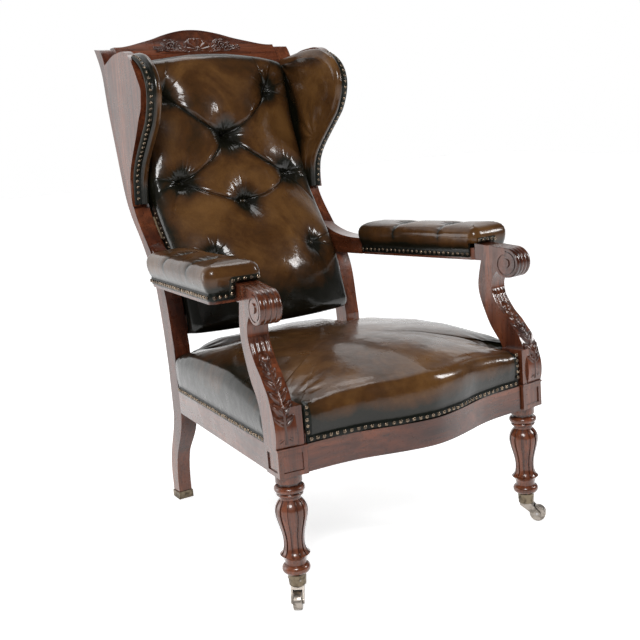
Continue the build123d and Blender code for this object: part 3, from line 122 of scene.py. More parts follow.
world = bpy.data.worlds.new("studio")
bpy.context.scene.world = world
world.use_nodes = True
sky = world.node_tree
sky.nodes.clear()
around = sky.nodes.new("ShaderNodeTexCoord")
direction = add_node(sky, "ShaderNodeSeparateXYZ", Vector=around.outputs["Generated"])
behind = remap(sky, direction.outputs["Y"], 0.05, 0.62, 0.05, 1.0)
to_left = remap(sky, direction.outputs["X"], 0.35, -0.8, 0.0, 0.15)
sky_rays = sky.nodes.new("ShaderNodeLightPath")
sky_pick = add_node(sky, "ShaderNodeMix", data_type="FLOAT")
feed(sky, sky_pick.inputs["Factor"], sky_rays.outputs["Is Camera Ray"])
feed(sky, sky_pick.inputs["A"], maths(sky, "ADD", behind, to_left))
feed(sky, sky_pick.inputs["B"], 1.0)
sky_glow = add_node(sky, "ShaderNodeBackground", Color=(1, 1, 1), Strength=sky_pick.outputs[0])
add_node(sky, "ShaderNodeOutputWorld", Surface=sky_glow.outputs[0])


def soft_box(name, place, target, size, energy):
    """Rectangular area light turned to a point."""
    data = bpy.data.lights.new(name, "AREA")
    data.shape = "RECTANGLE"
    data.size, data.size_y = size
    data.energy = energy
    light = bpy.data.objects.new(name, data)
    light.location = place
    light.rotation_euler = (Vector(target) - Vector(place)).to_track_quat("-Z", "Y").to_euler()
    bpy.context.scene.collection.objects.link(light)


soft_box("key", (-1.7, -2.3, 2.5), (0, 0, 0.6), (0.9, 0.9), 72)
soft_box("fill", (2.4, -1.7, 1.7), (0, 0, 0.5), (0.45, 0.9), 34)
soft_box("top", (0.5, 0.9, 3.0), (0, 0, 0.5), (1.0, 1.0), 11)
soft_box("behind_left", (-2.6, 1.9, 0.9), (0, 0, 0.5), (1.4, 1.8), 24)

floor_material = bpy.data.materials.new("floor_paper")
floor_material.use_nodes = True
paper = floor_material.node_tree
paper.nodes.clear()
fibres = add_node(paper, "ShaderNodeTexNoise", Scale=3.0, Detail=4.0)
paper_body = add_node(paper, "ShaderNodeBsdfPrincipled", Roughness=0.6)
feed(paper, paper_body.inputs["Base Color"], remap(paper, fibres.outputs["Fac"], 0, 1, 0.86, 0.9, False))
paper_rays = paper.nodes.new("ShaderNodeLightPath")
seen = maths(paper, "MAXIMUM", paper_rays.outputs["Is Camera Ray"], paper_rays.outputs["Is Glossy Ray"])
paper_glow = add_node(paper, "ShaderNodeEmission", Strength=maths(paper, "MULTIPLY", seen, PAPER_GLOW))
paper_sum = paper.nodes.new("ShaderNodeAddShader")
feed(paper, paper_sum.inputs[0], paper_body.outputs[0])
feed(paper, paper_sum.inputs[1], paper_glow.outputs[0])
add_node(paper, "ShaderNodeOutputMaterial", Surface=paper_sum.outputs[0])
floor_mesh = bpy.data.meshes.new("floor")
corners = [(-PAPER_REACH, -PAPER_REACH, 0), (PAPER_REACH, -PAPER_REACH, 0), (PAPER_REACH, PAPER_REACH, 0),
           (-PAPER_REACH, PAPER_REACH, 0)]
floor_mesh.from_pydata(corners, [], [(0, 1, 2, 3)])
floor_mesh.materials.append(floor_material)
floor = bpy.data.objects.new("floor", floor_mesh)
bpy.context.scene.collection.objects.link(floor)


# Show frame: legs, posts, rails, arms and wing panels of red-brown mahogany, tenoned
# together and French polished. Each has its grain along its own length, and the
# wood is darkened towards near black in its recesses, as an occlusion node finds them.
POLISH = {"Specular IOR Level": 0.3, "Coat Weight": 0.75, "Coat IOR": 1.45, "Coat Roughness": 0.13}


def new_material(name, settings):
    """Material with its Principled shader, the shader's plain settings and its output."""
    material = bpy.data.materials.new(name)
    material.use_nodes = True
    tree = material.node_tree
    tree.nodes.clear()
    shader = tree.nodes.new("ShaderNodeBsdfPrincipled")
    for key, value in settings.items():
        shader.inputs[key].default_value = value
    add_node(tree, "ShaderNodeOutputMaterial", Surface=shader.outputs[0])
    return material, tree, shader


def effect(name, inputs, outputs):
    """Empty node group for an effect that several materials share, and its two ends."""
    group = bpy.data.node_groups.new(name, "ShaderNodeTree")
    for way, sockets in (("INPUT", inputs), ("OUTPUT", outputs)):
        for socket, kind in sockets.items():
            group.interface.new_socket(name=socket, in_out=way, socket_type="NodeSocket" + kind)
    return group, group.nodes.new("NodeGroupInput").outputs, group.nodes.new("NodeGroupOutput").inputs


def use_effect(tree, group, shader, **values):
    """Place a group in a material with its own values, feeding the shader's colour and roughness."""
    node = tree.nodes.new("ShaderNodeGroup")
    node.node_tree = group
    for key, value in values.items():
        feed(tree, node.inputs[key], value)
    feed(tree, shader.inputs["Base Color"], node.outputs["Color"])
    if "Roughness" in node.outputs:
        feed(tree, shader.inputs["Roughness"], node.outputs["Roughness"])
    return node.outputs


def ramp(tree, source, stops):
    """Colour ramp fed by a value, with (place, colour) stops."""
    node = add_node(tree, "ShaderNodeValToRGB", Fac=source)
    elements = node.color_ramp.elements
    while len(elements) < len(stops):
        elements.new(0.5)
    for element, (place, colour) in zip(elements, stops):
        element.position = place
        element.color = (*colour, 1.0)
    return node.outputs["Color"]


def mixed(tree, factor, first, second, blend="MIX"):
    """Mix of two colours by a factor."""
    node = add_node(tree, "ShaderNodeMix", data_type="RGBA", blend_type=blend)
    for number, value in ((0, factor), (6, first), (7, second)):
        feed(tree, node.inputs[number], value)
    return node.outputs[2]


def texture(tree, kind, stretch=(1, 1, 1), **values):
    """Texture in the model's own metres, squeezed by "stretch"."""
    place = tree.nodes.new("ShaderNodeTexCoord")
    mapping = add_node(tree, "ShaderNodeMapping", Vector=place.outputs["Object"], Scale=stretch)
    return add_node(tree, kind, Vector=mapping.outputs["Vector"], **values)


def noise(tree, stretch, detail, rough=0.5, twist=0.0):
    """Value of a noise texture."""
    node = texture(tree, "ShaderNodeTexNoise", stretch, Scale=1.0, Detail=detail, Roughness=rough,
                   Distortion=twist)
    return node.outputs["Fac"]


def bump(tree, height, strength, distance, normal=None):
    """Bump from a height, over another normal if one is given."""
    node = add_node(tree, "ShaderNodeBump", Strength=strength, Distance=distance, Height=height)
    if normal is not None:
        feed(tree, node.inputs["Normal"], normal)
    return node.outputs["Normal"]


grain, given, made = effect("mahogany_grain", {"Broad": "Vector", "Fine": "Vector", "Pores": "Vector",
                                               "Tone": "Float"}, {"Color": "Color", "Roughness": "Float"})
figure = noise(grain, given["Broad"], 5.0, 0.55, 0.7)
pores = noise(grain, given["Pores"], 3.0, 0.6)
streaks = noise(grain, given["Fine"], 6.0, 0.65, 0.25)
heartwood = ramp(grain, figure, [
    (0.25, (0.044, 0.0105, 0.0048)), (0.45, (0.105, 0.026, 0.0105)), (0.60, (0.175, 0.050, 0.020)),
    (0.8, (0.25, 0.080, 0.034))])
streaked = remap(grain, streaks, 0.35, 0.7, 0.55, 1.25)
depth = maths(grain, "MULTIPLY", streaked, given["Tone"])
coloured = mixed(grain, 1.0, heartwood, depth, "MULTIPLY")
pore_mask = remap(grain, pores, 0.56, 0.68, 0.0, 0.7)
coloured = mixed(grain, pore_mask, coloured, (0.012, 0.003, 0.002))
# The wood is taken towards near black in the recesses that the occlusion node finds.
crevice = add_node(grain, "ShaderNodeAmbientOcclusion", Distance=0.010, samples=6)
recess = remap(grain, crevice.outputs["AO"], 0.25, 0.95, 0.75, 0.0)
feed(grain, made["Color"], mixed(grain, recess, coloured, (0.007, 0.0022, 0.0015)))
smear = noise(grain, (14, 14, 14), 4.0, 0.7)
feed(grain, made["Roughness"], remap(grain, smear, 0.3, 0.75, 0.20, 0.42))


def mahogany(name, axis, tone=1.0):
    """Polished mahogany with its grain along an axis of the model."""
    material, tree, shader = new_material(name, POLISH)
    fine = [70.0, 70.0, 70.0]
    fine[axis] = 4.0
    broad = [9.0, 9.0, 9.0]
    broad[axis] = 1.1
    pore = [value * 6 for value in fine]
    use_effect(tree, grain, shader, Broad=broad, Fine=fine, Pores=pore, Tone=tone)
    pits = noise(tree, pore, 3.0, 0.6)
    wavy = noise(tree, (26, 26, 26), 2.0)
    under = bump(tree, wavy, 0.35, 0.0010, bump(tree, pits, 0.25, 0.0003))
    feed(tree, shader.inputs["Normal"], under)
    feed(tree, shader.inputs["Coat Normal"], under)
    return material


def finish(material, *names):
    """Give nodes of the model a material."""
    for name in names:
        nodes[name].data.materials.clear()
        nodes[name].data.materials.append(material)


def pair(*names):
    """The left and right nodes of each name."""
    return [name + side for name in names for side in ("_left", "_right")]


finish(mahogany("mahogany_across", 0),
       "crest_rail", "back_bottom_rail", "seat_front_rail", "seat_rear_rail")
finish(mahogany("mahogany_along", 1), *pair("side_rail", "arm_rail"))
finish(mahogany("mahogany_upright", 2), "corner_blocks",
       *pair("back_post", "front_leg", "arm_support", "wing_panel"))


# Crest carving: a shell between sprays of foliage, cut in relief in the face of the
# crest rail. Its ground lies just under the plain wood's face, and its wood takes a
# darker tone than the plain wood and is darkened further in its recesses.
# The carved pieces take a darker tone than the plain wood.
wood_carved = mahogany("mahogany_carved", 2, 0.6)
stand_turn = np.array(stand)[:3, :3]
stand_move = np.array(stand)[:3, 3]


def placed(points):
    """Bench millimetres as points of the model's frame in metres."""
    return np.asarray(points, float).reshape(-1, 3) * 0.001 @ stand_turn.T + stand_move


def smooth_line(pairs, at_values, width):
    """Reading of a table of (place, value), rounded over "width"."""
    xs, ys = np.array(sorted(pairs), float).T
    fine = np.linspace(xs[0] - 3 * width, xs[-1] + 3 * width, 900)
    slope_a = (ys[1] - ys[0]) / (xs[1] - xs[0])
    slope_b = (ys[-1] - ys[-2]) / (xs[-1] - xs[-2])
    raw = np.interp(fine, xs, ys)
    raw = np.where(fine < xs[0], ys[0] + slope_a * (fine - xs[0]), raw)
    raw = np.where(fine > xs[-1], ys[-1] + slope_b * (fine - xs[-1]), raw)
    step = fine[1] - fine[0]
    reach = max(1, int(2.5 * width / step))
    kernel = np.exp(-0.5 * (np.arange(-reach, reach + 1) * step / width) ** 2)
    soft = np.convolve(np.pad(raw, reach, mode="edge"), kernel / kernel.sum(), mode="valid")
    return np.interp(at_values, fine, soft)


def grid_faces(rows, columns, closed=False):
    """Quads of a grid of points, with its rows closed or open."""
    last = columns if closed else columns - 1
    r, c = np.meshgrid(np.arange(rows - 1), np.arange(last), indexing="ij")
    n = (c + 1) % columns
    quads = np.stack([r * columns + c, r * columns + n, (r + 1) * columns + n, (r + 1) * columns + c],
                     axis=-1)
    return quads.reshape(-1, 4)


def piece(name, points, faces, materials, replaces=(), shade=None, indices=None, body="chair"):
    """Smooth mesh object from bench points, riding on a body of the model."""
    mesh = bpy.data.meshes.new(name)
    mesh.from_pydata(placed(points).tolist(), [], [list(map(int, f)) for f in faces])
    for material in materials:
        mesh.materials.append(material)
    if indices is not None:
        mesh.polygons.foreach_set("material_index", np.asarray(indices, np.int32))
    mesh.polygons.foreach_set("use_smooth", np.ones(len(mesh.polygons), bool))
    values = mesh.attributes.new("shade", "FLOAT", "POINT")
    shade = np.zeros(len(mesh.vertices)) if shade is None else shade
    values.data.foreach_set("value", np.asarray(shade, np.float32).ravel())
    mesh.update()
    obj = bpy.data.objects.new(name, mesh)
    bpy.context.scene.collection.objects.link(obj)
    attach(obj, body)
    if replaces:
        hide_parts(*replaces)
    return obj


def distance_to(line, x, z):
    """Distance of points from an open line in the plane, the place along it, and the side."""
    best = np.full(x.shape, 1e9)
    where = np.zeros(x.shape)
    side = np.zeros(x.shape)
    for k in range(len(line) - 1):
        a, b = line[k], line[k + 1]
        d = b - a
        t = np.clip(((x - a[0]) * d[0] + (z - a[1]) * d[1]) / (d @ d), 0, 1)
        rx = x - a[0] - t * d[0]
        rz = z - a[1] - t * d[1]
        gap = np.hypot(rx, rz)
        near = gap < best
        best = np.where(near, gap, best)
        where = np.where(near, (k + t) / (len(line) - 1), where)
        side = np.where(near, np.sign(rz + 1e-9), side)
    return best, where, side


def leaf_lobes(u, v, lobes):
    """Height of overlapping pointed lobes, each (u, v, angle, length, width, height)."""
    height = np.zeros(u.shape)
    for cu, cv, angle, length, width, rise in lobes:
        c, s = cos(radians(angle)), sin(radians(angle))
        a = ((u - cu) * c + (v - cv) * s) / (length / 2)
        b = (-(u - cu) * s + (v - cv) * c) / (width / 2) / np.clip(1 - 0.5 * a, 0.25, 1.6)
        inside = np.clip(1 - a * a - b * b, 0, 1)
        vein = 1 - 0.5 * np.exp(-(b / 0.2) ** 2)
        height = np.maximum(height, rise * inside ** 0.5 * vein)
    return height


def raised_line(u, v, line, half_width, rise):
    """Height of a rounded stem along a line."""
    gap, _, _ = distance_to(np.asarray(line, float), u, v)
    return rise * np.clip(1 - (gap / half_width) ** 2, 0, 1) ** 0.5


def scroll_line(cu, cv, radius, start, turns, way):
    """Spiral of a volute, from its outside in."""
    steps = np.linspace(0, 1, 60)
    angle = radians(start) + way * 2 * pi * turns * steps
    reach = radius * (1 - steps) ** 0.8
    return np.stack([cu + reach * np.cos(angle), cv + reach * np.sin(angle)], axis=1)


CARVING_LOW = 1113
CARVING_HALF = 128
CARVING_MARGIN = 4.5
CARVING_GROUND = 0.7
FACE_SLOPE, FACE_OUT, FACE_UP = 1.17, 0.85, 0.53
FLUTES = 5.5
SHELL_FOOT = 8
crest_front = [(1089, 781), (1129, 806), (1150, 822), (1180, 838)]
crest_top = [(0, 1178), (30, 1176), (57, 1170), (85, 1163), (113, 1154), (143, 1146), (171, 1139),
             (200, 1133.5)]
cu, cv = np.meshgrid(np.linspace(-CARVING_HALF, CARVING_HALF, 257), np.linspace(0, 1, 76))
top_here = smooth_line(crest_top, np.abs(cu), 8) - CARVING_MARGIN
carved_z = CARVING_LOW + cv * (top_here - CARVING_LOW)
u, v = np.abs(cu), (carved_z - CARVING_LOW) * FACE_SLOPE
fan_angle = np.arctan2(v - 14, u)
fan_reach = np.hypot(u / 1.12, v - 14)
flute = np.abs(np.cos(fan_angle * FLUTES))
scallop = 33 + 2.6 * flute
rays = 1.6 + 1.9 * flute ** 0.7 * np.clip(fan_reach / 20, 0.2, 1)
shell = np.where((fan_reach < scallop) & (v > SHELL_FOOT), rays, 0)
rim_ridge = 4.6 * np.clip(1 - ((fan_reach - scallop + 2.5) / 3.6) ** 2, 0, 1) ** 0.5 * (v > SHELL_FOOT)
bead = 6.0 * np.clip(1 - (np.hypot(u, v - 15) / 7.5) ** 2, 0, 1) ** 0.5
lobes = [(47, 20, 38, 30, 12, 5.0), (50, 32, 62, 24, 10, 4.4), (60, 40, 38, 22, 9, 4.0),
         (66, 12, -12, 30, 11, 4.6), (96, 22, 8, 32, 10, 4.4), (108, 13, -14, 26, 8, 3.8),
         (90, 32, 28, 24, 9, 4.0), (116, 24, 10, 18, 6, 3.0), (40, 8, 4, 26, 9, 3.8),
         (78, 44, 20, 18, 7, 3.2)]
stem = [(34, 6), (52, 8), (70, 8), (88, 10), (104, 16), (122, 18)]
relief = np.maximum.reduce([shell, rim_ridge, bead, leaf_lobes(u, v, lobes),
                            raised_line(u, v, scroll_line(74, 24, 13, 200, 1.7, -1), 3.0, 5.2),
                            raised_line(u, v, stem, 2.6, 4.0)])
fade = np.clip((CARVING_HALF - 2 - u) / 6, 0, 1)
fade *= np.clip(cv / 0.05, 0, 1) * np.clip((1 - cv) / 0.05, 0, 1)
relief = relief * fade - CARVING_GROUND
crest_y = smooth_line(crest_front, carved_z, 6)
carving = np.stack([cu, crest_y - FACE_OUT * relief, carved_z + FACE_UP * relief], axis=-1)
piece("crest_carving", carving, grid_faces(*cu.shape), [wood_carved])


# Leaves of the arm supports: a spray of acanthus climbs from the base over the front
# of each support, cut in its wood, and ends in a bud with four reeds above it.
SIDES = ((-1, "left"), (1, "right"))
SPLAY = radians(6.6)
LEG_X = 302.5
LEAF_ROWS = 130
LEAF_COLUMNS = 45
LEAF_MIDDLE = 10.5
LEAF_HALF = 20.5
LEAF_RUN = 238
LEAF_RISE = 6.0
LEAF_GROUND = 0.6
MIDRIB_END = 186
BUD_PLACE = 190
REEDS_ABOVE = 4


def at(t, out, z, side=1):
    """Bench point "t" behind a front leg's axis and "out" outside it."""
    return (side * (LEG_X + out * cos(SPLAY) - t * sin(SPLAY)), t * cos(SPLAY) + out * sin(SPLAY), z)


def resample(points, count):
    """Evenly spaced points along an open line of points."""
    points = np.asarray(points, float)
    run = np.concatenate([[0], np.cumsum(np.linalg.norm(np.diff(points, axis=0), axis=1))])
    return np.stack([np.interp(np.linspace(0, run[-1], count), run, points[:, i])
                     for i in range(points.shape[1])], axis=1)


def rounded(points, passes):
    """An open line of points, smoothed with its ends kept."""
    points = np.asarray(points, float).copy()
    for _ in range(passes):
        points[1:-1] = 0.25 * points[:-2] + 0.5 * points[1:-1] + 0.25 * points[2:]
    return points


def beside(line):
    """Unit normals of an open line in the plane, to the left of its run."""
    slope = np.gradient(line, axis=0)
    slope /= np.linalg.norm(slope, axis=1, keepdims=True)
    return np.stack([-slope[:, 1], slope[:, 0]], axis=1)


support_line = [(-28.2, 327), (-28.0, 355), (-27.6, 385), (-25.2, 396), (-18, 407), (-9, 424.5), (3, 438.5),
                (15, 453.5), (30, 467.5), (48, 490), (58, 508), (60.5, 522)]
support_front = rounded(resample(support_line, LEAF_ROWS), 4)
facing_out = beside(support_front)
run, width = np.meshgrid(np.linspace(0, LEAF_RUN, LEAF_ROWS),
                         np.linspace(-LEAF_HALF, LEAF_HALF, LEAF_COLUMNS), indexing="ij")
half_width = np.abs(width)
lobe_sizes = [(12, -62, 22, 12), (26, 40, 30, 14), (48, 48, 36, 16), (74, 46, 40, 17), (100, 42, 40, 16),
              (126, 38, 36, 14), (150, 32, 30, 11), (172, 24, 24, 8)]
leaf = [(place, 9.5 * (1 - place / 330), angle, length, wide, LEAF_RISE)
        for place, angle, length, wide in lobe_sizes]
midrib = raised_line(run, half_width, [(4, 0), (90, 0), (MIDRIB_END, 0)], 3.4, 6.6)
bud = 7.0 * np.clip(1 - ((run - BUD_PLACE) / 13) ** 2 - (width / 10) ** 2, 0, 1) ** 0.5
reeds = np.abs(np.cos(width / (2 * LEAF_HALF) * REEDS_ABOVE * pi)) ** 0.6
reeds *= 1.6 * np.clip((run - MIDRIB_END) / 20, 0, 1)
relief = np.maximum.reduce([leaf_lobes(run, half_width, leaf), midrib, bud, reeds])
relief *= np.clip((LEAF_HALF - half_width) / 1.5, 0, 1) * np.clip(run / 3, 0, 1)
relief = relief * np.clip((LEAF_RUN - run) / 6, 0, 1) - LEAF_GROUND
front = support_front[:, None] + facing_out[:, None] * relief[..., None]
for side, word in SIDES:
    carving = np.stack(at(front[..., 0], LEAF_MIDDLE + width, front[..., 1], side), axis=-1)
    faces = grid_faces(LEAF_ROWS, LEAF_COLUMNS)
    piece("support_carving_" + word, carving, faces if side > 0 else faces[:, ::-1], [wood_carved])


# Reeds of the scrolls: four rounded reeds worked along each scroll's wood, from its
# neck before the arm pad round to the underside of the roll.
REED_ROWS = 110
REED_COUNT, REED_WIDTH, REED_STEPS = 4, 11, 14
REED_INNER = -12
REED_RISE = 3.0
SCROLL_T, SCROLL_Z, SCROLL_RADIUS = 18.5, 581.5, 31.5
reed_path = [(80, 619.4), (SCROLL_T, SCROLL_Z + SCROLL_RADIUS)]
reed_path += [(SCROLL_T - SCROLL_RADIUS * sin(turn), SCROLL_Z + SCROLL_RADIUS * cos(turn))
              for turn in np.linspace(0, 1.08 * pi, 40)[1:]]
reed_path = resample(reed_path, REED_ROWS)
reed_out = -beside(reed_path)
reed_across = np.linspace(REED_INNER, REED_INNER + REED_COUNT * REED_WIDTH, REED_COUNT * REED_STEPS + 1)
reed_place = (reed_across - REED_INNER) % REED_WIDTH / (REED_WIDTH / 2) - 1
reed_round = np.sqrt(np.clip(1 - reed_place ** 2, 0, 1))
reed_fade = np.clip(np.linspace(0, 6, REED_ROWS), 0, 1) * np.clip(np.linspace(6, 0, REED_ROWS), 0, 1)
reed_rise = REED_RISE * reed_round[None, :] * reed_fade[:, None] - LEAF_GROUND
lifted = reed_path[:, None] + reed_out[:, None] * reed_rise[..., None]
for side, word in SIDES:
    reeds = np.stack(at(lifted[..., 0], reed_across, lifted[..., 1], side), axis=-1)
    faces = grid_faces(REED_ROWS, len(reed_across))
    piece("scroll_reeds_" + word, reeds, faces if side < 0 else faces[:, ::-1], [wood_carved])


# Casters and shoes: the front legs stand in brass cups whose horns swivel on steel
# stems and hold brass wheels, and the rear feet have square brass shoes. All of it
# is tarnished in patches and finely scratched.
tarnish, given, made = effect("tarnish", {"Bright": "Color", "Dull": "Color", "Smooth": "Float",
                                          "Rough": "Float", "Patches": "Vector"},
                              {"Color": "Color", "Roughness": "Float"})
cloud = noise(tarnish, given["Patches"], 6.0, 0.65)
crevice = add_node(tarnish, "ShaderNodeAmbientOcclusion", Distance=0.005, samples=4)
worn = maths(tarnish, "MAXIMUM", remap(tarnish, cloud, 0.42, 0.66, 0.0, 0.8),
             remap(tarnish, crevice.outputs["AO"], 0.3, 0.95, 1.0, 0.0))
feed(tarnish, made["Color"], mixed(tarnish, worn, given["Bright"], given["Dull"]))
feed(tarnish, made["Roughness"], remap(tarnish, worn, 0.0, 1.0, given["Smooth"], given["Rough"], False))


def metal(name, bright, dull, smooth, rough, patches=60.0):
    """Metal with tarnish in patches and in its recesses, and fine scratches."""
    material, tree, shader = new_material(name, {"Metallic": 1.0})
    use_effect(tree, tarnish, shader, Bright=bright, Dull=dull, Smooth=smooth, Rough=rough,
               Patches=(patches,) * 3)
    scratch = noise(tree, (900, 220, 60), 2.0)
    feed(tree, shader.inputs["Normal"], bump(tree, scratch, 0.18, 0.0002))
    return material


pin_steel = metal("pin_steel", (0.46, 0.45, 0.44), (0.15, 0.12, 0.10), 0.3, 0.55)
finish(metal("caster_brass", (0.36, 0.32, 0.28), (0.09, 0.075, 0.06), 0.32, 0.55),
       "caster_screws", *pair("caster_horn", "caster_wheel"))
finish(metal("shoe_brass", (0.20, 0.16, 0.11), (0.05, 0.038, 0.027), 0.34, 0.6),
       *pair("rear_shoe", "caster_cup"))
finish(pin_steel, *pair("caster_axle", "caster_stem"))


# Inside: coil springs stand on jute webbing under a hessian, more webbing carries
# the back, screws hold the corner blocks, and a black lining closes the underside.
weave, given, made = effect("plain_weave", {"First": "Color", "Second": "Color", "Threads": "Float"},
                            {"Color": "Color", "Weave": "Float"})
warp = texture(weave, "ShaderNodeTexWave", Scale=given["Threads"], bands_direction="X", Distortion=0.6)
weft = texture(weave, "ShaderNodeTexWave", Scale=given["Threads"], bands_direction="Y", Distortion=0.6)
crossing = maths(weave, "MULTIPLY", warp.outputs["Fac"], weft.outputs["Fac"])
fuzz = noise(weave, (160, 160, 160), 4.0)
thread_tone = maths(weave, "ADD", maths(weave, "MULTIPLY", crossing, 0.6),
                    maths(weave, "MULTIPLY", fuzz, 0.4))
feed(weave, made["Color"], mixed(weave, remap(weave, thread_tone, 0.15, 0.75, 0.0, 1.0, False),
                                 given["First"], given["Second"]))
feed(weave, made["Weave"], crossing)


def cloth(name, first, second, threads):
    """Plain weave of two tones with the given threads to a metre."""
    material, tree, shader = new_material(name, {"Roughness": 0.9, "Sheen Weight": 0.3})
    woven = use_effect(tree, weave, shader, First=first, Second=second, Threads=threads)
    feed(tree, shader.inputs["Normal"], bump(tree, woven["Weave"], 0.6, 0.0006))
    return material


finish(pin_steel, "corner_block_screws", "seat_springs")
finish(cloth("jute_webbing", (0.11, 0.07, 0.035), (0.33, 0.24, 0.13), 150.0),
       "seat_webbing", "back_webbing", "seat_hessian")
finish(cloth("lining_cloth", (0.010, 0.010, 0.010), (0.040, 0.038, 0.036), 260.0), "dust_cover")


# Outside back: one dark hide stretched over the back of the frame, between the
# posts. The same glossy leather, hand-dyed in other tones, covers the whole chair;
# each piece's "shade" darkens it with dye and painted shade together.
hide_dye, given, made = effect("hide_dye", {"Light": "Color", "Middle": "Color", "Deep": "Color",
                                            "Shade": "Float", "Gloss": "Float"},
                               {"Color": "Color", "Roughness": "Float"})
cloud = noise(hide_dye, (7, 7, 7), 5.0, 0.6, 0.8)
patch = noise(hide_dye, (35, 35, 35), 6.0, 0.7)
tone = maths(hide_dye, "ADD", maths(hide_dye, "MULTIPLY", cloud, 0.75),
             maths(hide_dye, "MULTIPLY", patch, 0.25))
# Painted shade with the dye: the "Shade" of each point takes the tone towards the deep colour.
dyed_and_shaded = maths(hide_dye, "SUBTRACT", tone, maths(hide_dye, "MULTIPLY", given["Shade"], 0.62))
lighter_deep = mixed(hide_dye, 1.0, given["Deep"], (1.6, 1.6, 1.6), "MULTIPLY")
colour = mixed(hide_dye, remap(hide_dye, dyed_and_shaded, 0.0, 0.22, 0.0, 1.0, False), given["Deep"], lighter_deep)
colour = mixed(hide_dye, remap(hide_dye, dyed_and_shaded, 0.22, 0.45, 0.0, 1.0, False), colour, given["Middle"])
colour = mixed(hide_dye, remap(hide_dye, dyed_and_shaded, 0.45, 0.68, 0.0, 1.0, False), colour, given["Light"])
pebbles = texture(hide_dye, "ShaderNodeTexVoronoi", Scale=900.0, feature="F1")
pits = remap(hide_dye, pebbles.outputs["Distance"], 0.1, 0.55, 0.82, 1.06)
pitted = mixed(hide_dye, 1.0, colour, pits, "MULTIPLY")
feed(hide_dye, made["Color"], mixed(hide_dye, 0.6, colour, pitted))
rub = noise(hide_dye, (22, 22, 22), 5.0, 0.7)
feed(hide_dye, made["Roughness"],
     maths(hide_dye, "ADD", remap(hide_dye, rub, 0.3, 0.72, 0.0, 0.16), given["Gloss"]))


def hide(name, light, middle, deep, gloss, coat):
    """Glossy dyed leather; the "shade" of each point, dye and painted shade together, takes it to its deep
    colour.
    """
    material, tree, shader = new_material(name, {"Specular IOR Level": 0.08, "Coat Weight": coat,
                                                 "Coat IOR": 1.42, "Coat Roughness": 0.12})
    shade = add_node(tree, "ShaderNodeAttribute", attribute_name="shade")
    use_effect(tree, hide_dye, shader, Light=light, Middle=middle, Deep=deep, Shade=shade.outputs["Fac"],
               Gloss=gloss)
    fine = texture(tree, "ShaderNodeTexVoronoi", Scale=900.0, feature="F1")
    pull = noise(tree, (38, 38, 38), 3.0, 0.55)
    pulled = bump(tree, pull, 0.5, 0.0016)
    feed(tree, shader.inputs["Normal"], bump(tree, fine.outputs["Distance"], 0.28, 0.00025, pulled))
    feed(tree, shader.inputs["Coat Normal"], bump(tree, fine.outputs["Distance"], 0.12, 0.0002, pulled))
    return material


band_leather = hide("leather_band", (0.020, 0.018, 0.011), (0.012, 0.012, 0.008), (0.004, 0.005, 0.0035),
                    0.36, 0.25)
finish(band_leather, "outside_back")


# Back: a pad of olive-brown leather over hair and webbing, nailed to the posts'
# fronts. Its buttons are drawn in deep, the leather is folded into pleats between
# them, and it is taken nearly black in its folds, its tufts and towards its edges
# by its darker dye and painted shade together.
leather = hide("leather_olive", (0.150, 0.070, 0.021), (0.064, 0.0265, 0.0080), (0.0050, 0.0048, 0.0026),
               0.26, 0.75)
dice = np.random.default_rng(7)
BACK_HALF = 222.0
BACK_LOW = 449.0
side_front = [(448, 522), (489, 533), (540, 549), (591, 566), (647, 596), (701, 632), (750, 664), (839, 697),
              (924, 724), (1020, 742), (1056, 748), (1085, 754)]
post_line = [(430, 555), (465, 559), (512, 564), (536, 569), (584, 580), (640, 620), (687, 660), (732, 686),
             (774, 708), (839, 723), (875, 737), (924, 753), (972, 764), (1020, 771), (1056, 777),
             (1089, 781)]
crown_table = [(447, 34), (500, 50), (560, 62), (640, 68), (740, 62), (800, 54), (860, 47), (930, 44),
               (1000, 44), (1050, 36), (1090, 24), (1112, 14)]
top_table = [(-223, 1083), (-184, 1092), (-150, 1098), (-100, 1104), (-50, 1109), (0, 1110), (50, 1109),
             (100, 1104), (150, 1098), (184, 1092), (223, 1083)]
buttons = [(-145.7, 1009.8, 22), (145.7, 1009.8, 22), (0, 902, 36), (-148.9, 796, 27), (148.9, 796, 27),
           (0, 739.6, 32), (-137, 622, 20), (137, 622, 20)]
pleats = [(0, 2, 12), (1, 2, -12), (2, 3, 10), (2, 4, -10), (3, 5, -8), (4, 5, 8)]


def crease_list():
    """Creases of the back: the long pleats first, then the short puckers round each button."""
    found = []
    for first, last, sag in pleats:
        (xa, za, da), (xb, zb, db) = buttons[first], buttons[last]
        steps = np.linspace(0, 1, 15)
        bow = np.sin(steps * pi) * sag
        found.append((np.stack([xa + (xb - xa) * steps, za + (zb - za) * steps - np.abs(bow)], axis=1),
                      0.62 * da, 0.62 * db, 13.0, 1.0))
    for left_button, ends in ((0, ((178, 1092), (118, 1102), (222, 1030), (222, 985))),
                              (3, ((222, 812), (222, 775), (205, 720))),
                              (6, ((222, 640), (150, 560), (222, 600)))):
        for way in (-1, 1):
            x, z, _ = buttons[left_button + (way > 0)]
            for ex, ez in ends:
                steps = np.linspace(0, 1, 8)
                line_z = z + (ez - z) * steps + np.sin(steps * pi) * 3
                found.append((np.stack([x + (way * ex - x) * steps, line_z], axis=1), 9.0, 0.5, 8.0, 0.8))
    for x, z, depth in buttons:
        spokes = 26
        for k in range(spokes):
            turn = 2 * pi * (k + dice.uniform(-0.35, 0.35)) / spokes
            reach = dice.uniform(16, 62) * (0.75 + depth / 80)
            steps = np.linspace(0, 1, 6)
            bend = dice.uniform(-4, 4)
            dx, dz = cos(turn), sin(turn)
            found.append((np.stack([x + dx * (9 + reach * steps) - dz * bend * steps ** 2,
                                    z + dz * (9 + reach * steps) + dx * bend * steps ** 2], axis=1),
                          dice.uniform(1.8, 4.8), 0.0, dice.uniform(2.0, 3.6), 0.35))
    return found


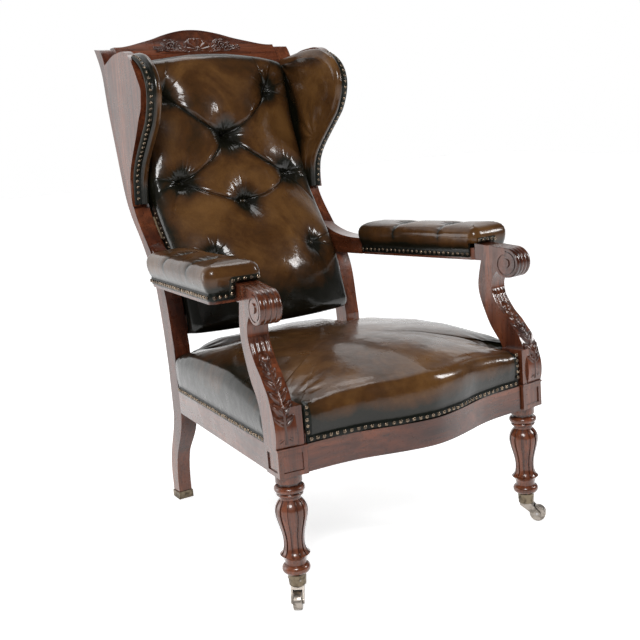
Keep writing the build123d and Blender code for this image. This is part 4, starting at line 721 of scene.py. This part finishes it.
def tufting(x, z):
    """Depth of the tufts and folds at points of the back, and how dark each point is from dye and painted
    shade in the folds.
    """
    funnel = np.zeros(x.shape)
    for bx, bz, depth in buttons:
        d = np.hypot(x - bx, z - bz)
        reach = 62 + depth * 1.15
        part = depth * np.clip(1 - np.maximum(d - 7, 0) / reach, 0, 1) ** 2.6
        funnel = np.maximum(funnel, part) + 0.25 * np.minimum(funnel, part)
    valley = np.zeros(x.shape)
    sharp = np.zeros(x.shape)
    dark = np.zeros(x.shape)
    for line, depth_a, depth_b, width, weight in crease_list():
        reach = 5 * width
        near = ((x > line[:, 0].min() - reach) & (x < line[:, 0].max() + reach)
                & (z > line[:, 1].min() - reach) & (z < line[:, 1].max() + reach))
        if not near.any():
            continue
        gap, where, side = distance_to(line, x[near], z[near])
        ends = depth_a + (depth_b - depth_a) * where
        if weight == 1.0:
            ends = ends * (0.42 + 0.58 * (2 * where - 1) ** 2) + 1.5
        fold = np.where(side > 0, np.exp(-gap / (width * 0.55)), np.exp(-gap / (width * 1.25)))
        puff = np.where(side > 0, 0.16 * ends * np.exp(-((gap - width) / (0.6 * width)) ** 2), 0)
        local = ends * fold - puff
        valley[near] = np.maximum(valley[near], local) + 0.3 * np.minimum(valley[near], local)
        line_depth = np.clip(ends / 12, 0.15, 1) * weight
        sharp[near] += 2.4 * line_depth * np.exp(-(gap / 1.9) ** 2)
        dark[near] = np.maximum(dark[near], np.clip(ends / 10, 0.1, 1) * np.exp(-gap / (0.5 * width)))
    depth = np.maximum(funnel, valley) + 0.45 * np.minimum(funnel, valley) + np.minimum(sharp, 4)
    return depth, dark


# Rows of points go up the back; columns go from its left rear round its front
FRONT_COUNT, CORNER_COUNT, WALL_COUNT = 300, 7, 5
BODY_COUNT, END_COUNT = 446, 8
CORNER = 20.0
flat_x = np.linspace(-BACK_HALF + CORNER, BACK_HALF - CORNER, FRONT_COUNT)
turns = np.linspace(0, pi / 2, CORNER_COUNT + 1)[1:]
left_x = -BACK_HALF + CORNER - CORNER * np.sin(turns)
left_set = CORNER - CORNER * np.cos(turns)
wall = np.linspace(0, 1, WALL_COUNT + 1)[1:]
across_x = np.concatenate([np.full(WALL_COUNT, -BACK_HALF), left_x[::-1], flat_x, -left_x,
                           np.full(WALL_COUNT, BACK_HALF)])
corner_set = np.concatenate([np.full(WALL_COUNT, CORNER), left_set[::-1], np.zeros(FRONT_COUNT), left_set,
                             np.full(WALL_COUNT, CORNER)])
wall_share = np.concatenate([wall[::-1], np.zeros(2 * CORNER_COUNT + FRONT_COUNT), wall])
end_turns = np.linspace(0, pi / 2, END_COUNT)[1:]
BOTTOM_ROUND, TOP_ROUND = 26.0, 20.0
body_rows = np.linspace(0, 1, BODY_COUNT)
top_z = smooth_line(top_table, across_x, 8)
rows = []
for share in (1.0, 0.45):
    rows.append((np.full(across_x.shape, BACK_LOW), np.full(across_x.shape, BOTTOM_ROUND), share))
for turn in end_turns[::-1]:
    rows.append((np.full(across_x.shape, BACK_LOW + BOTTOM_ROUND - BOTTOM_ROUND * sin(turn)),
                 np.full(across_x.shape, BOTTOM_ROUND - BOTTOM_ROUND * cos(turn)), 0.0))
for share in body_rows:
    rows.append((BACK_LOW + BOTTOM_ROUND + share * (top_z - TOP_ROUND - BACK_LOW - BOTTOM_ROUND),
                 np.zeros(across_x.shape), 0.0))
for turn in end_turns:
    rows.append((top_z - TOP_ROUND + TOP_ROUND * sin(turn),
                 np.full(across_x.shape, TOP_ROUND - TOP_ROUND * cos(turn)), 0.0))
for share in (0.45, 1.0):
    rows.append((top_z, np.full(across_x.shape, TOP_ROUND), share))
back_z = np.stack([row[0] for row in rows])
back_round = np.stack([row[1] for row in rows])
back_close = np.array([row[2] for row in rows])[:, None]
back_x = np.broadcast_to(across_x, back_z.shape)
line_y = smooth_line(side_front, back_z, 14)
rear_y = smooth_line(post_line, back_z, 14)
crown = smooth_line(crown_table, back_z, 18) * (1 - np.abs(back_x / BACK_HALF) ** 2.9)
tuft, fold_dark = tufting(back_x, back_z)
edge_fade = np.clip((BACK_HALF - np.abs(back_x)) / 18, 0, 1) * np.clip((top_z - back_z) / 16, 0, 1)
edge_fade *= np.clip((back_z - BACK_LOW) / 22, 0, 1)
lumps = 1.6 * np.sin(back_x / 31 + 1.3) * np.sin(back_z / 43 + 0.4)
lumps += 0.9 * np.sin(back_x / 17 + back_z / 23)
front_y = line_y - crown + tuft * edge_fade - lumps * edge_fade + corner_set + back_round
wall_part = np.maximum(np.broadcast_to(wall_share, back_z.shape), back_close)
back_y = front_y + (rear_y + 1 - front_y) * wall_part
# Painted shade with the darker dye: the deep tufts, the folds, a halo round each button, the sides, the
# bottom, the top and the walls back to the posts are taken darker.
button_shade_halo = np.zeros(back_z.shape)
for bx, bz, depth in buttons:
    button_shade_halo = np.maximum(button_shade_halo, np.exp(-(np.hypot(back_x - bx, (back_z - bz) * 0.85) / 34) ** 2))
shade = (np.clip(tuft / 34, 0, 1) * 0.45 + 0.30 * fold_dark + 0.50 * button_shade_halo
         + 0.75 * np.clip((np.abs(back_x) - 168) / 54, 0, 1) ** 1.6
         + 0.9 * np.clip((600 - back_z) / 130, 0, 1)
         + 0.6 * np.clip((back_z - top_z + 40) / 40, 0, 1) ** 2)
shade = np.clip(shade - 0.10, 0, 1.35)
shade = np.where(wall_part > 0.02, 1.3, shade)
back_points = np.stack([back_x, back_y, back_z], axis=-1)
back_faces = grid_faces(*back_z.shape)
back_pad = piece("back_cushion", back_points, back_faces[:, ::-1], [leather],
                 replaces=("back_cover", "back_stuffing"), shade=shade)


# Buttons of the back: turned wood moulds covered in the same leather, darker from
# hands, and sewn right through the back with twine.
button_leather = hide("leather_button", (0.09, 0.05, 0.02), (0.032, 0.022, 0.011), (0.006, 0.007, 0.004),
                      0.24, 0.6)
BUTTON_RADIUS = 8.6


def button_mesh(spots):
    """Domed buttons with a sunk rim at bench (point, outward, radius) spots."""
    points = []
    faces = []
    profile = [(1.05, -3.0), (1.08, 0.4), (1.0, 2.2), (0.82, 3.6), (0.55, 4.6), (0.28, 5.1)]
    sides = 24
    for place, outward, radius in spots:
        out = Vector(outward).normalized()
        side = out.orthogonal().normalized()
        other = out.cross(side)
        start = len(points)
        for share_r, rise in profile:
            for k in range(sides):
                turn = 2 * pi * k / sides
                wave = 1 + 0.025 * cos(5 * turn + start)
                reach = radius * share_r * wave
                points.append(Vector(place) + (side * cos(turn) + other * sin(turn)) * reach + out * rise)
        points.append(Vector(place) + out * 5.2)
        for ring in range(len(profile) - 1):
            for k in range(sides):
                a = start + ring * sides + k
                b = start + ring * sides + (k + 1) % sides
                faces.append((a, b, b + sides, a + sides))
        top = start + len(profile) * sides
        faces += [(top - sides + k, top - sides + (k + 1) % sides, top) for k in range(sides)]
    return points, faces


def back_point(x, z):
    """Point of the finished back nearest to (x, z)."""
    k = np.argmin((back_x - x) ** 2 + (back_z - z) ** 2 + 1e6 * wall_part)
    r, c = np.unravel_index(k, back_x.shape)
    return x, back_y[r, c], z


points, faces = button_mesh([(back_point(x, z), (0, -1, 0.35), BUTTON_RADIUS) for x, z, _ in buttons])
back_buttons = piece("back_covered_buttons", points, faces, [button_leather], replaces=("back_buttons",),
                     shade=np.full(len(points), 0.25))


# Nails of the back's sides: small domes of tarnished brass, hammered by hand into
# the posts through the leather's edge, so each stands a little differently.
nail_brass = metal("nail_brass", (0.21, 0.16, 0.115), (0.030, 0.024, 0.020), 0.22, 0.42, 90.0)
NAIL_PITCH = 14.4
NAIL_RADIUS = 4.2
NAIL_RISE = 2.7
NAIL_SINK = 0.4
TILT_SPREAD, SIZE_SPREAD, PLACE_SPREAD = 0.05, 0.03, 0.35
NAIL_RINGS = 4
NAIL_SIDES = 12


def nail_group(name, spots, replaces=()):
    """One mesh of domes at bench (point, outward) spots."""
    points = []
    faces = []
    for place, outward in spots:
        out = np.array(outward, float)
        out /= np.linalg.norm(out)
        out += dice.normal(0, TILT_SPREAD, 3)
        out /= np.linalg.norm(out)
        side = np.cross(out, (0.31, 0.22, 0.93))
        side /= np.linalg.norm(side)
        other = np.cross(out, side)
        radius = NAIL_RADIUS * (1 + dice.normal(0, SIZE_SPREAD))
        start = len(points)
        centre = np.array(place, float) + side * dice.normal(0, PLACE_SPREAD)
        centre += other * dice.normal(0, PLACE_SPREAD)
        for ring in range(NAIL_RINGS):
            angle = ring / NAIL_RINGS * pi / 2
            for k in range(NAIL_SIDES):
                turn = 2 * pi * k / NAIL_SIDES
                points.append(centre + radius * cos(angle) * (cos(turn) * side + sin(turn) * other)
                              + out * (NAIL_RISE * sin(angle) - NAIL_SINK))
        points.append(centre + out * (NAIL_RISE - NAIL_SINK))
        for ring in range(NAIL_RINGS - 1):
            for k in range(NAIL_SIDES):
                a = start + ring * NAIL_SIDES + k
                b = start + ring * NAIL_SIDES + (k + 1) % NAIL_SIDES
                faces.append((a, b, b + NAIL_SIDES, a + NAIL_SIDES))
        top = start + NAIL_RINGS * NAIL_SIDES
        last = top - NAIL_SIDES
        faces += [(last + k, last + (k + 1) % NAIL_SIDES, top) for k in range(NAIL_SIDES)]
    return piece(name, points, faces, [nail_brass], replaces=replaces)


def along(line, pitch):
    """Evenly spaced points on an open line, about a pitch apart."""
    line = np.asarray(line, float)
    length = np.linalg.norm(np.diff(line, axis=0), axis=1).sum()
    return resample(line, max(2, int(round(length / pitch)) + 1))


def nail_row(line, pitch, outward):
    """Nail places along a line, all facing one way."""
    return [(spot, outward) for spot in along(line, pitch)]


nail_spots = []
for side in (-1, 1):
    rail = [(side * (BACK_HALF + 0.6), y - 10, z) for z, y in post_line if 590 < z < 760]
    nail_spots += nail_row(rail, NAIL_PITCH, (side, -0.15, 0))
nail_group("back_side_nails", nail_spots, ("back_nails",))


# Seat: springs and hair under one hide, drawn down over the rails, cut round the
# arm supports and the posts, with a dark band and nails along its lower edge.
SEAT_CROWN = 450.5
BAND_TOP = 334
REAR_Y = 576
LOOP_POINTS = 520
SEAT_FILL_ROWS = 60
PLAN_KEPT = 10
CROWN_POWER = 2.3
SEAT_BAND = 4
bow_half = [(60, -66), (90, -58), (130, -42), (160, -36), (190, -31), (220, -27), (250, -25), (302, -25)]
bow_table = [(-x, y) for x, y in bow_half] + [(0, -76)] + bow_half
front_x = np.linspace(0, 271, 70)
front_line = list(zip(front_x, smooth_line(bow_table, front_x, 14)))
notch_deep = at(31, -27.5, 0)
notch_out = at(31, 27.0, 0)
half_line = front_line + [(271.5, -12), (notch_deep[0] + 1.0, 16), (notch_deep[0], notch_deep[1] - 3),
                          (notch_deep[0] + 3, notch_deep[1]), (notch_out[0] - 4, notch_out[1]),
                          (notch_out[0], notch_out[1] + 4)]
half_line += [at(t, 27.0, 0)[:2] for t in np.linspace(40, 545, 90)]
half_line += [(at(549, 24, 0)[0], 551.5), (at(549, 18, 0)[0] - 12, 552.0), (232, 552.5), (226.5, 555),
              (225.5, 572), (222, REAR_Y - 0.5)]
half_line += [(x, REAR_Y) for x in np.linspace(214, 0, 40)]
half = np.array([p[:2] for p in half_line], float)
half = rounded(resample(half, LOOP_POINTS), 3)
loop = np.concatenate([half, (half * (-1, 1))[-2:0:-1]])
centre = np.array([0.0, 255.0])


def outside(loop):
    """Unit normals of a closed line in the plane, away from its middle."""
    run = np.roll(loop, -1, axis=0) - np.roll(loop, 1, axis=0)
    normal = np.stack([run[:, 1], -run[:, 0]], axis=1)
    normal /= np.linalg.norm(normal, axis=1, keepdims=True)
    return normal if (normal * (loop - loop.mean(axis=0))).sum() > 0 else -normal


def averaged(values, reach):
    """Running mean round a closed loop."""
    count = 2 * reach + 1
    return np.convolve(np.pad(values, reach, mode="wrap"), np.ones(count) / count, mode="valid")


def stacked(rings):
    """Grid of points from rings of a plan, each with its heights."""
    return np.stack([np.column_stack(ring) for ring in rings])


def edge_height(x, y):
    """Height of the roll at the seat's edge."""
    front = np.interp(np.abs(x), [0, 120, 200, 262, 320], [414, 410, 404, 395, 392])
    sides = np.interp(y, [20, 60, 110, 160, 240, 310, 400, 470, 520, 560],
                      [393, 404, 414, 420, 427, 428, 424, 420, 412, 404])
    rear = np.interp(np.abs(x), [0, 80, 145, 188, 220], [430, 428, 426, 413, 404])
    height = np.where(y < 5, front, sides)
    return np.where(y > 552, rear, height)


rim = rounded(np.stack([edge_height(loop[:, 0], loop[:, 1])] * 2, axis=1), 14)[:, 0]
outward = outside(loop)
free = (loop[:, 1] < 548) & ~((np.abs(loop[:, 0]) > 268) & (loop[:, 1] < 29))
free = averaged(free.astype(float), 12)
band_rows = [(317.5, -1.5), (319.0, 0.8), (326.0, 1.6), (332.5, 1.4), (BAND_TOP, 0.6)]
seat_rings = []
for z, out in band_rows:
    seat_rings.append((loop + outward * (out * free[:, None]), np.full(len(loop), z)))
for share_up, out in ((0.10, 2.2), (0.26, 4.4), (0.44, 5.6), (0.62, 5.2), (0.76, 3.0), (0.86, -1.0),
                      (0.93, -6.5), (0.975, -13.5), (1.0, -22.0)):
    reach = out * (free if out > 0 else np.ones(len(loop)))
    seat_rings.append((loop + outward * reach[:, None], BAND_TOP + (rim - BAND_TOP) * share_up))
inner = seat_rings[-1][0]
hull_turn = np.arctan2(inner[:, 1] - centre[1], inner[:, 0] - centre[0])
radius = np.linalg.norm(inner - centre, axis=1)
calm = averaged(radius, 60)
for k in np.linspace(0.965, 0.02, SEAT_FILL_ROWS):
    spread = (radius * k ** PLAN_KEPT + calm * (1 - k ** PLAN_KEPT)) * k
    ring = centre + np.stack([np.cos(hull_turn), np.sin(hull_turn)], axis=1) * spread[:, None]
    swell = 1 - k ** CROWN_POWER
    seat_rings.append((ring, rim * (1 - swell) + SEAT_CROWN * swell))
ring_points = stacked(seat_rings)
sx, sy = ring_points[..., 0], ring_points[..., 1]
upper = np.clip((ring_points[..., 2] - 385) / 30, 0, 1)
ripple = 0.9 * np.sin(sx / 37 + 0.6 * np.sin(sy / 51)) * np.sin(sy / 44 + 1.1)
ripple += 0.5 * np.sin(sx / 19 - sy / 27)
for cx, cy in ((268, 30), (-268, 30), (228, 550), (-228, 550)):
    gap = np.hypot(sx - cx, sy - cy)
    fan = np.arctan2(sy - cy, sx - cx)
    ripple += 1.5 * np.sin(fan * 15 + cx) * np.exp(-((gap - 36) / 34) ** 2)
ring_points[..., 2] += ripple * upper
flat_points = np.concatenate([ring_points.reshape(-1, 3), [[centre[0], centre[1], SEAT_CROWN + 0.1]]])
seat_faces = [tuple(f) for f in grid_faces(ring_points.shape[0], len(loop), True)]
last_ring = (ring_points.shape[0] - 1) * len(loop)
seat_faces += [(last_ring + k, last_ring + (k + 1) % len(loop), len(flat_points) - 1)
               for k in range(len(loop))]
# Painted shade with the darker dye: darker low by the band under the roll's bulge, towards the rear under the
# back and towards the sides by the arms.
ring_shade = 0.95 * np.exp(-((ring_points[..., 2] - 325) / 34) ** 2)
ring_shade += 0.55 * np.clip((sy - 430) / 140, 0, 1) ** 1.3
ring_shade += 0.5 * np.clip((np.abs(sx) - 170) / 110, 0, 1) ** 2
ring_shade = np.clip(ring_shade - 0.08, 0, 1.3)
seat_index = np.zeros(len(seat_faces), int)
grid_index = np.zeros((ring_points.shape[0] - 1, len(loop)), int)
grid_index[:SEAT_BAND] = 1
vertical_band = (np.abs(np.abs(sx) - 267) < 9) & (sy < -8)
corner = vertical_band[:-1] & np.roll(vertical_band, -1, axis=1)[:-1]
corner[13:] = False
grid_index[corner] = 1
seat_index[:grid_index.size] = grid_index.ravel()
seat_shade = np.concatenate([ring_shade.ravel(), [0.05]])
seat_pad = piece("seat_cushion", flat_points, seat_faces, [leather, band_leather],
                 replaces=("seat_cover", "seat_banding", "seat_stuffing"), shade=seat_shade,
                 indices=seat_index)

NAIL_Z = 326
nail_x = np.linspace(-262, 262, 90)
front_nails = along([(x, y - 2.0, NAIL_Z) for x, y in zip(nail_x, smooth_line(bow_table, nail_x, 14))],
                    NAIL_PITCH)
nail_spots = [(spot, (0.15 * np.sign(spot[0]), -1, 0.05)) for spot in front_nails]
for side in (-1, 1):
    nail_spots += nail_row([at(42, 29.2, NAIL_Z, side), at(541, 29.2, NAIL_Z, side)], NAIL_PITCH,
                           (side * cos(SPLAY), sin(SPLAY), 0.05))
    nail_spots += nail_row([(side * 267.5, -28.6, 341), (side * 267.0, -27.0, 389)], 13.0, (0, -1, 0.05))
nail_group("seat_edge_nails", nail_spots, ("seat_nails",))


# Arm pads: rolled leather over hair on the arm boards, with a dark band and nails
# round them and round the scrolls' necks, and two buttons drawn down on each top.
ARM_FRONT, ARM_REAR, ARM_INNER, ARM_OUTER, ARM_CORNER = 101.0, 480.0, -15.0, 84.0, 13.0
ARM_POINTS = 360
ARM_MIDDLE = 34.5
ARM_TOP = 661.3
ARM_BAND = 4
ARM_FILL_ROWS = 16
ARM_SWELL = 3.2
ARM_NAIL_Z = 598.5
NECK_Z = 622.6
arm_rows = [(0.4, 591.0), (1.6, 592.5), (2.4, 598.5), (2.2, 605.0), (1.2, 606.5), (4.6, 613.0), (7.6, 622.0),
            (9.4, 632.0), (9.2, 641.0), (6.4, 649.0), (1.0, 655.0), (-7.0, 659.0), (-16.0, ARM_TOP)]
arm_buttons = [(205.0, 36.0), (352.0, 36.0)]


def arm_loop():
    """Plan of an arm pad as (t, out) points, round its four corners."""
    t0, t1 = ARM_FRONT + ARM_CORNER, ARM_REAR - ARM_CORNER
    o0, o1 = ARM_INNER + ARM_CORNER, ARM_OUTER - ARM_CORNER
    points = []
    for ct, co, start in ((t1, o1, 0.0), (t1, o0, -0.5 * pi), (t0, o0, -pi), (t0, o1, -1.5 * pi)):
        for k in range(9):
            angle = start + 0.5 * pi * (1 - k / 8)
            points.append((ct + ARM_CORNER * cos(angle), co + ARM_CORNER * sin(angle)))
    points.append(points[0])
    return resample(points, ARM_POINTS + 1)[:-1]


def neck_band(side):
    """Dark band and nail places round the opening for the scroll's neck, in front of the pad."""
    path = rounded(resample([(40, 596), (40, 629), (-15, 629)], 60), 3)
    columns = []
    for reach, rise in ((-5.6, -1.0), (-5.4, 1.0), (0.0, 1.5), (5.4, 1.0), (5.6, -1.0)):
        edge = path + beside(path) * reach
        bulge = np.interp(edge[:, 1], [598, 606, 613, 622, 632, 641], [2.4, 1.2, 4.6, 7.6, 9.4, 9.2])
        face = ARM_FRONT - bulge
        columns.append(np.stack([face - rise, edge[:, 0], edge[:, 1]], axis=1))
    ribbon = np.stack(columns, axis=1)
    points = np.stack(at(*np.moveaxis(ribbon, -1, 0), side), axis=-1)
    faces = grid_faces(len(path), len(columns))
    nails = [at(t - 1.2, out, z, side) for t, out, z in along(ribbon[4:-2, 2], 12.6)]
    return points, faces if side > 0 else faces[:, ::-1], nails


def arm_pad(side):
    """Points, faces, shades and band faces of one arm's pad."""
    plan = arm_loop()
    normal = outside(plan)
    rings = [(plan + normal * out, np.full(ARM_POINTS, z)) for out, z in arm_rows]
    top_plan = rings[-1][0]
    spine = np.stack([np.clip(top_plan[:, 0], 140, 440), np.full(ARM_POINTS, ARM_MIDDLE)], axis=1)
    for k in np.linspace(0.93, 0.0, ARM_FILL_ROWS):
        height = ARM_TOP + ARM_SWELL * (1 - k ** 2)
        rings.append((spine + (top_plan - spine) * k, np.full(ARM_POINTS, height)))
    grid = stacked(rings)
    t, out, z = grid[..., 0], grid[..., 1], grid[..., 2]
    # Painted shade with the darker dye: darker low under the roll by the band, towards the rear by the back,
    # and in and round the buttons' dips.
    shade = 0.85 * np.exp(-((z - 600) / 17) ** 2) + 0.2 * np.clip((t - 400) / 80, 0, 1)
    for bt, bo in arm_buttons:
        gap = np.hypot(t - bt, out - bo)
        dip = 11.5 * np.clip(1 - np.maximum(gap - 6, 0) / 42, 0, 1) ** 2.2
        fan = np.arctan2(out - bo, t - bt)
        folds = np.maximum(np.cos(fan * 9 + 0.7), 0) ** 5 * 2.4 * np.exp(-((gap - 19) / 13) ** 2)
        cross = 5.2 * np.exp(-np.abs(t - bt) / 8) * np.clip((np.abs(out - bo)) / 60, 0, 1) * (z > 625)
        grid[..., 2] = grid[..., 2] - (dip + folds + cross) * np.clip((z - 632) / 24, 0, 1)
        shade = np.maximum(shade, 0.95 * np.clip(1 - gap / 40, 0, 1) ** 1.3)
        shade = np.maximum(shade, 0.5 * np.exp(-np.abs(t - bt) / 5) * (z > 625))
    neck = (out < 34) & (t < 116)
    grid[..., 2] = np.where(neck, np.maximum(grid[..., 2], NECK_Z), grid[..., 2])
    grid[..., 2] += 0.7 * np.sin(t / 23 + 1) * np.sin(out / 17) * np.clip((z - 640) / 20, 0, 1)
    points = np.stack(at(t, out, z, side), axis=-1)
    faces = grid_faces(len(rings), ARM_POINTS, True)
    index = np.zeros((len(rings) - 1, ARM_POINTS), int)
    index[:ARM_BAND] = 1
    return points, faces if side < 0 else faces[:, ::-1], shade, index.ravel()


def arm_nail_row(side, ends, pitch, outward):
    """Nail places between two (t, out) ends on an arm's band."""
    return nail_row([at(t, out, ARM_NAIL_Z, side) for t, out in ends], pitch, outward)


for side, word in SIDES:
    points, faces, shade, index = arm_pad(side)
    pad = piece("arm_pad_" + word, points, faces, [leather, band_leather],
                replaces=("arm_cover_" + word, "arm_stuffing_" + word),
                shade=shade, indices=index)
    spots = [(at(bt, bo, 651.6, side), (0, 0, 1), 7.2) for bt, bo in arm_buttons]
    points, faces = button_mesh(spots)
    sewn = piece("arm_buttons_" + word, points, faces, [button_leather],
                 shade=np.full(len(points), 0.5))
    points, faces, neck_nails = neck_band(side)
    piece("arm_neck_band_" + word, points, faces, [band_leather])
    away = (side * cos(SPLAY), sin(SPLAY), 0)
    inward = (-side * cos(SPLAY), -sin(SPLAY), 0)
    ahead = (side * sin(SPLAY), -cos(SPLAY), 0)
    rearward = (-side * sin(SPLAY), cos(SPLAY), 0)
    nail_spots = arm_nail_row(side, [(112, 87), (470, 87)], NAIL_PITCH, away)
    nail_spots += arm_nail_row(side, [(122, -17.8), (470, -17.8)], NAIL_PITCH, inward)
    nail_spots += [(spot, ahead) for spot in neck_nails]
    nail_spots += arm_nail_row(side, [(98.4, 53), (98.4, 76)], 13.0, ahead)
    nail_spots += arm_nail_row(side, [(482.6, 76), (482.6, 36)], 13.4, rearward)
    nail_group("arm_edge_nails_" + word, nail_spots, ("arm_nails_" + word,))


# Wings: leather over hair on mahogany panels, rolled over their front edges. A bare
# lip of wood, the dark band and its nails run round outside the roll.
WING_POINTS = 230
WING_BAND = 6
WING_FILL_ROWS = 46
WING_REAR_X = 224.5
WING_TOP, WING_DROP = 1083, 326
WING_BULGE = 7.5
wing_line = [(784, 1086), (760, 1087), (733, 1090), (700, 1094), (660, 1095.5), (625, 1094), (600, 1090),
             (574, 1077), (552, 1059), (539, 1036), (535, 1008), (543, 979), (562, 944), (587, 921),
             (613, 897), (639, 873), (664, 847), (679, 821), (685, 796), (688, 756)]
wing_edge = rounded(resample(wing_line, WING_POINTS), 30)
wing_normal = -beside(wing_edge)
wing_rows = [(5.5, -4.0), (5.8, 0.0), (8.0, 1.6), (14.0, 2.4), (19.5, 2.2), (21.5, 1.0), (22.5, 1.2),
             (23.5, 3.4), (27.0, 6.6), (31.5, 8.0), (36.0, 6.8), (40.0, 3.0), (42.5, -3.0), (43.8, -10.0)]


def wing_x(y):
    """Outer face of a wing's wood at a depth "y"."""
    return 267 + (782 - y) * 9 / 234


def wing_pad(side):
    """Points, faces, shades and band faces of one wing's leather."""
    rings = []
    for inset, out in wing_rows:
        y, z = (wing_edge + wing_normal * out).T
        rings.append(np.stack([wing_x(y) - inset, y, z], axis=1))
    start = rings[-1]
    shares = np.linspace(0, 1, WING_POINTS)
    rear_z = WING_TOP - WING_DROP * shares
    rear_y = smooth_line(post_line, rear_z, 14) + 4
    rear_line = np.stack([np.full(WING_POINTS, WING_REAR_X), rear_y, rear_z], axis=1)
    for k in np.linspace(0, 1, WING_FILL_ROWS)[1:]:
        ring = start + (rear_line - start) * k
        swell = np.sin(pi * min(k * 1.15, 1.0)) * np.sin(pi * (shares * 0.96 + 0.02)) ** 0.6
        ring[:, 0] -= WING_BULGE * swell
        rings.append(ring)
    grid = np.stack(rings)
    y, z = grid[..., 1], grid[..., 2]
    row = np.arange(len(rings))[:, None]
    wrinkle = 0.8 * np.sin(y / 29 + z / 37) + 0.5 * np.sin(y / 13 - z / 21)
    for cy, cz, n, amp, reach in ((700, 770, 13, 1.8, 70), (775, 1080, 11, 1.4, 60), (640, 880, 9, 1.1, 60)):
        gap = np.hypot(y - cy, z - cz)
        wrinkle += amp * np.sin(np.arctan2(z - cz, y - cy) * n + cy) * np.exp(-((gap - 30) / reach) ** 2)
    grid[..., 0] -= wrinkle * np.clip((row - 12) / 8, 0, 1)
    # Painted shade with the darker dye: darker towards the rear by the back, in the crease at the band's
    # inner edge, low down and towards the top.
    depth = row / (len(rings) - 1) * np.ones(WING_POINTS)
    shade = 0.95 * np.clip((depth - 0.62) / 0.38, 0, 1) ** 1.2
    shade = np.maximum(shade, 0.8 * np.exp(-((row - 6) / 2.2) ** 2))
    shade = np.maximum(shade, 0.75 * np.clip((840 - z) / 80, 0, 1))
    shade = np.maximum(shade, 0.6 * np.clip((z - 1050) / 45, 0, 1) * (depth > 0.25))
    grid[..., 0] *= side
    faces = grid_faces(len(rings), WING_POINTS)
    index = np.zeros((len(rings) - 1, WING_POINTS - 1), int)
    index[:WING_BAND] = 1
    return grid, faces if side > 0 else faces[:, ::-1], shade, index.ravel()


for side, word in SIDES:
    grid, faces, shade, index = wing_pad(side)
    pad = piece("wing_pad_" + word, grid, faces, [leather, band_leather],
                replaces=("wing_cover_" + word, "wing_stuffing_" + word),
                shade=shade, indices=index)
    nail_spots = []
    spots = along(grid[3], 14.2)
    for k, spot in enumerate(spots[1:-1], 1):
        pick = int(k / (len(spots) - 1) * (WING_POINTS - 1))
        nail_spots.append((spot, (side * 0.12, *wing_normal[pick])))
    nail_group("wing_edge_nails_" + word, nail_spots, ("wing_nails_" + word,))
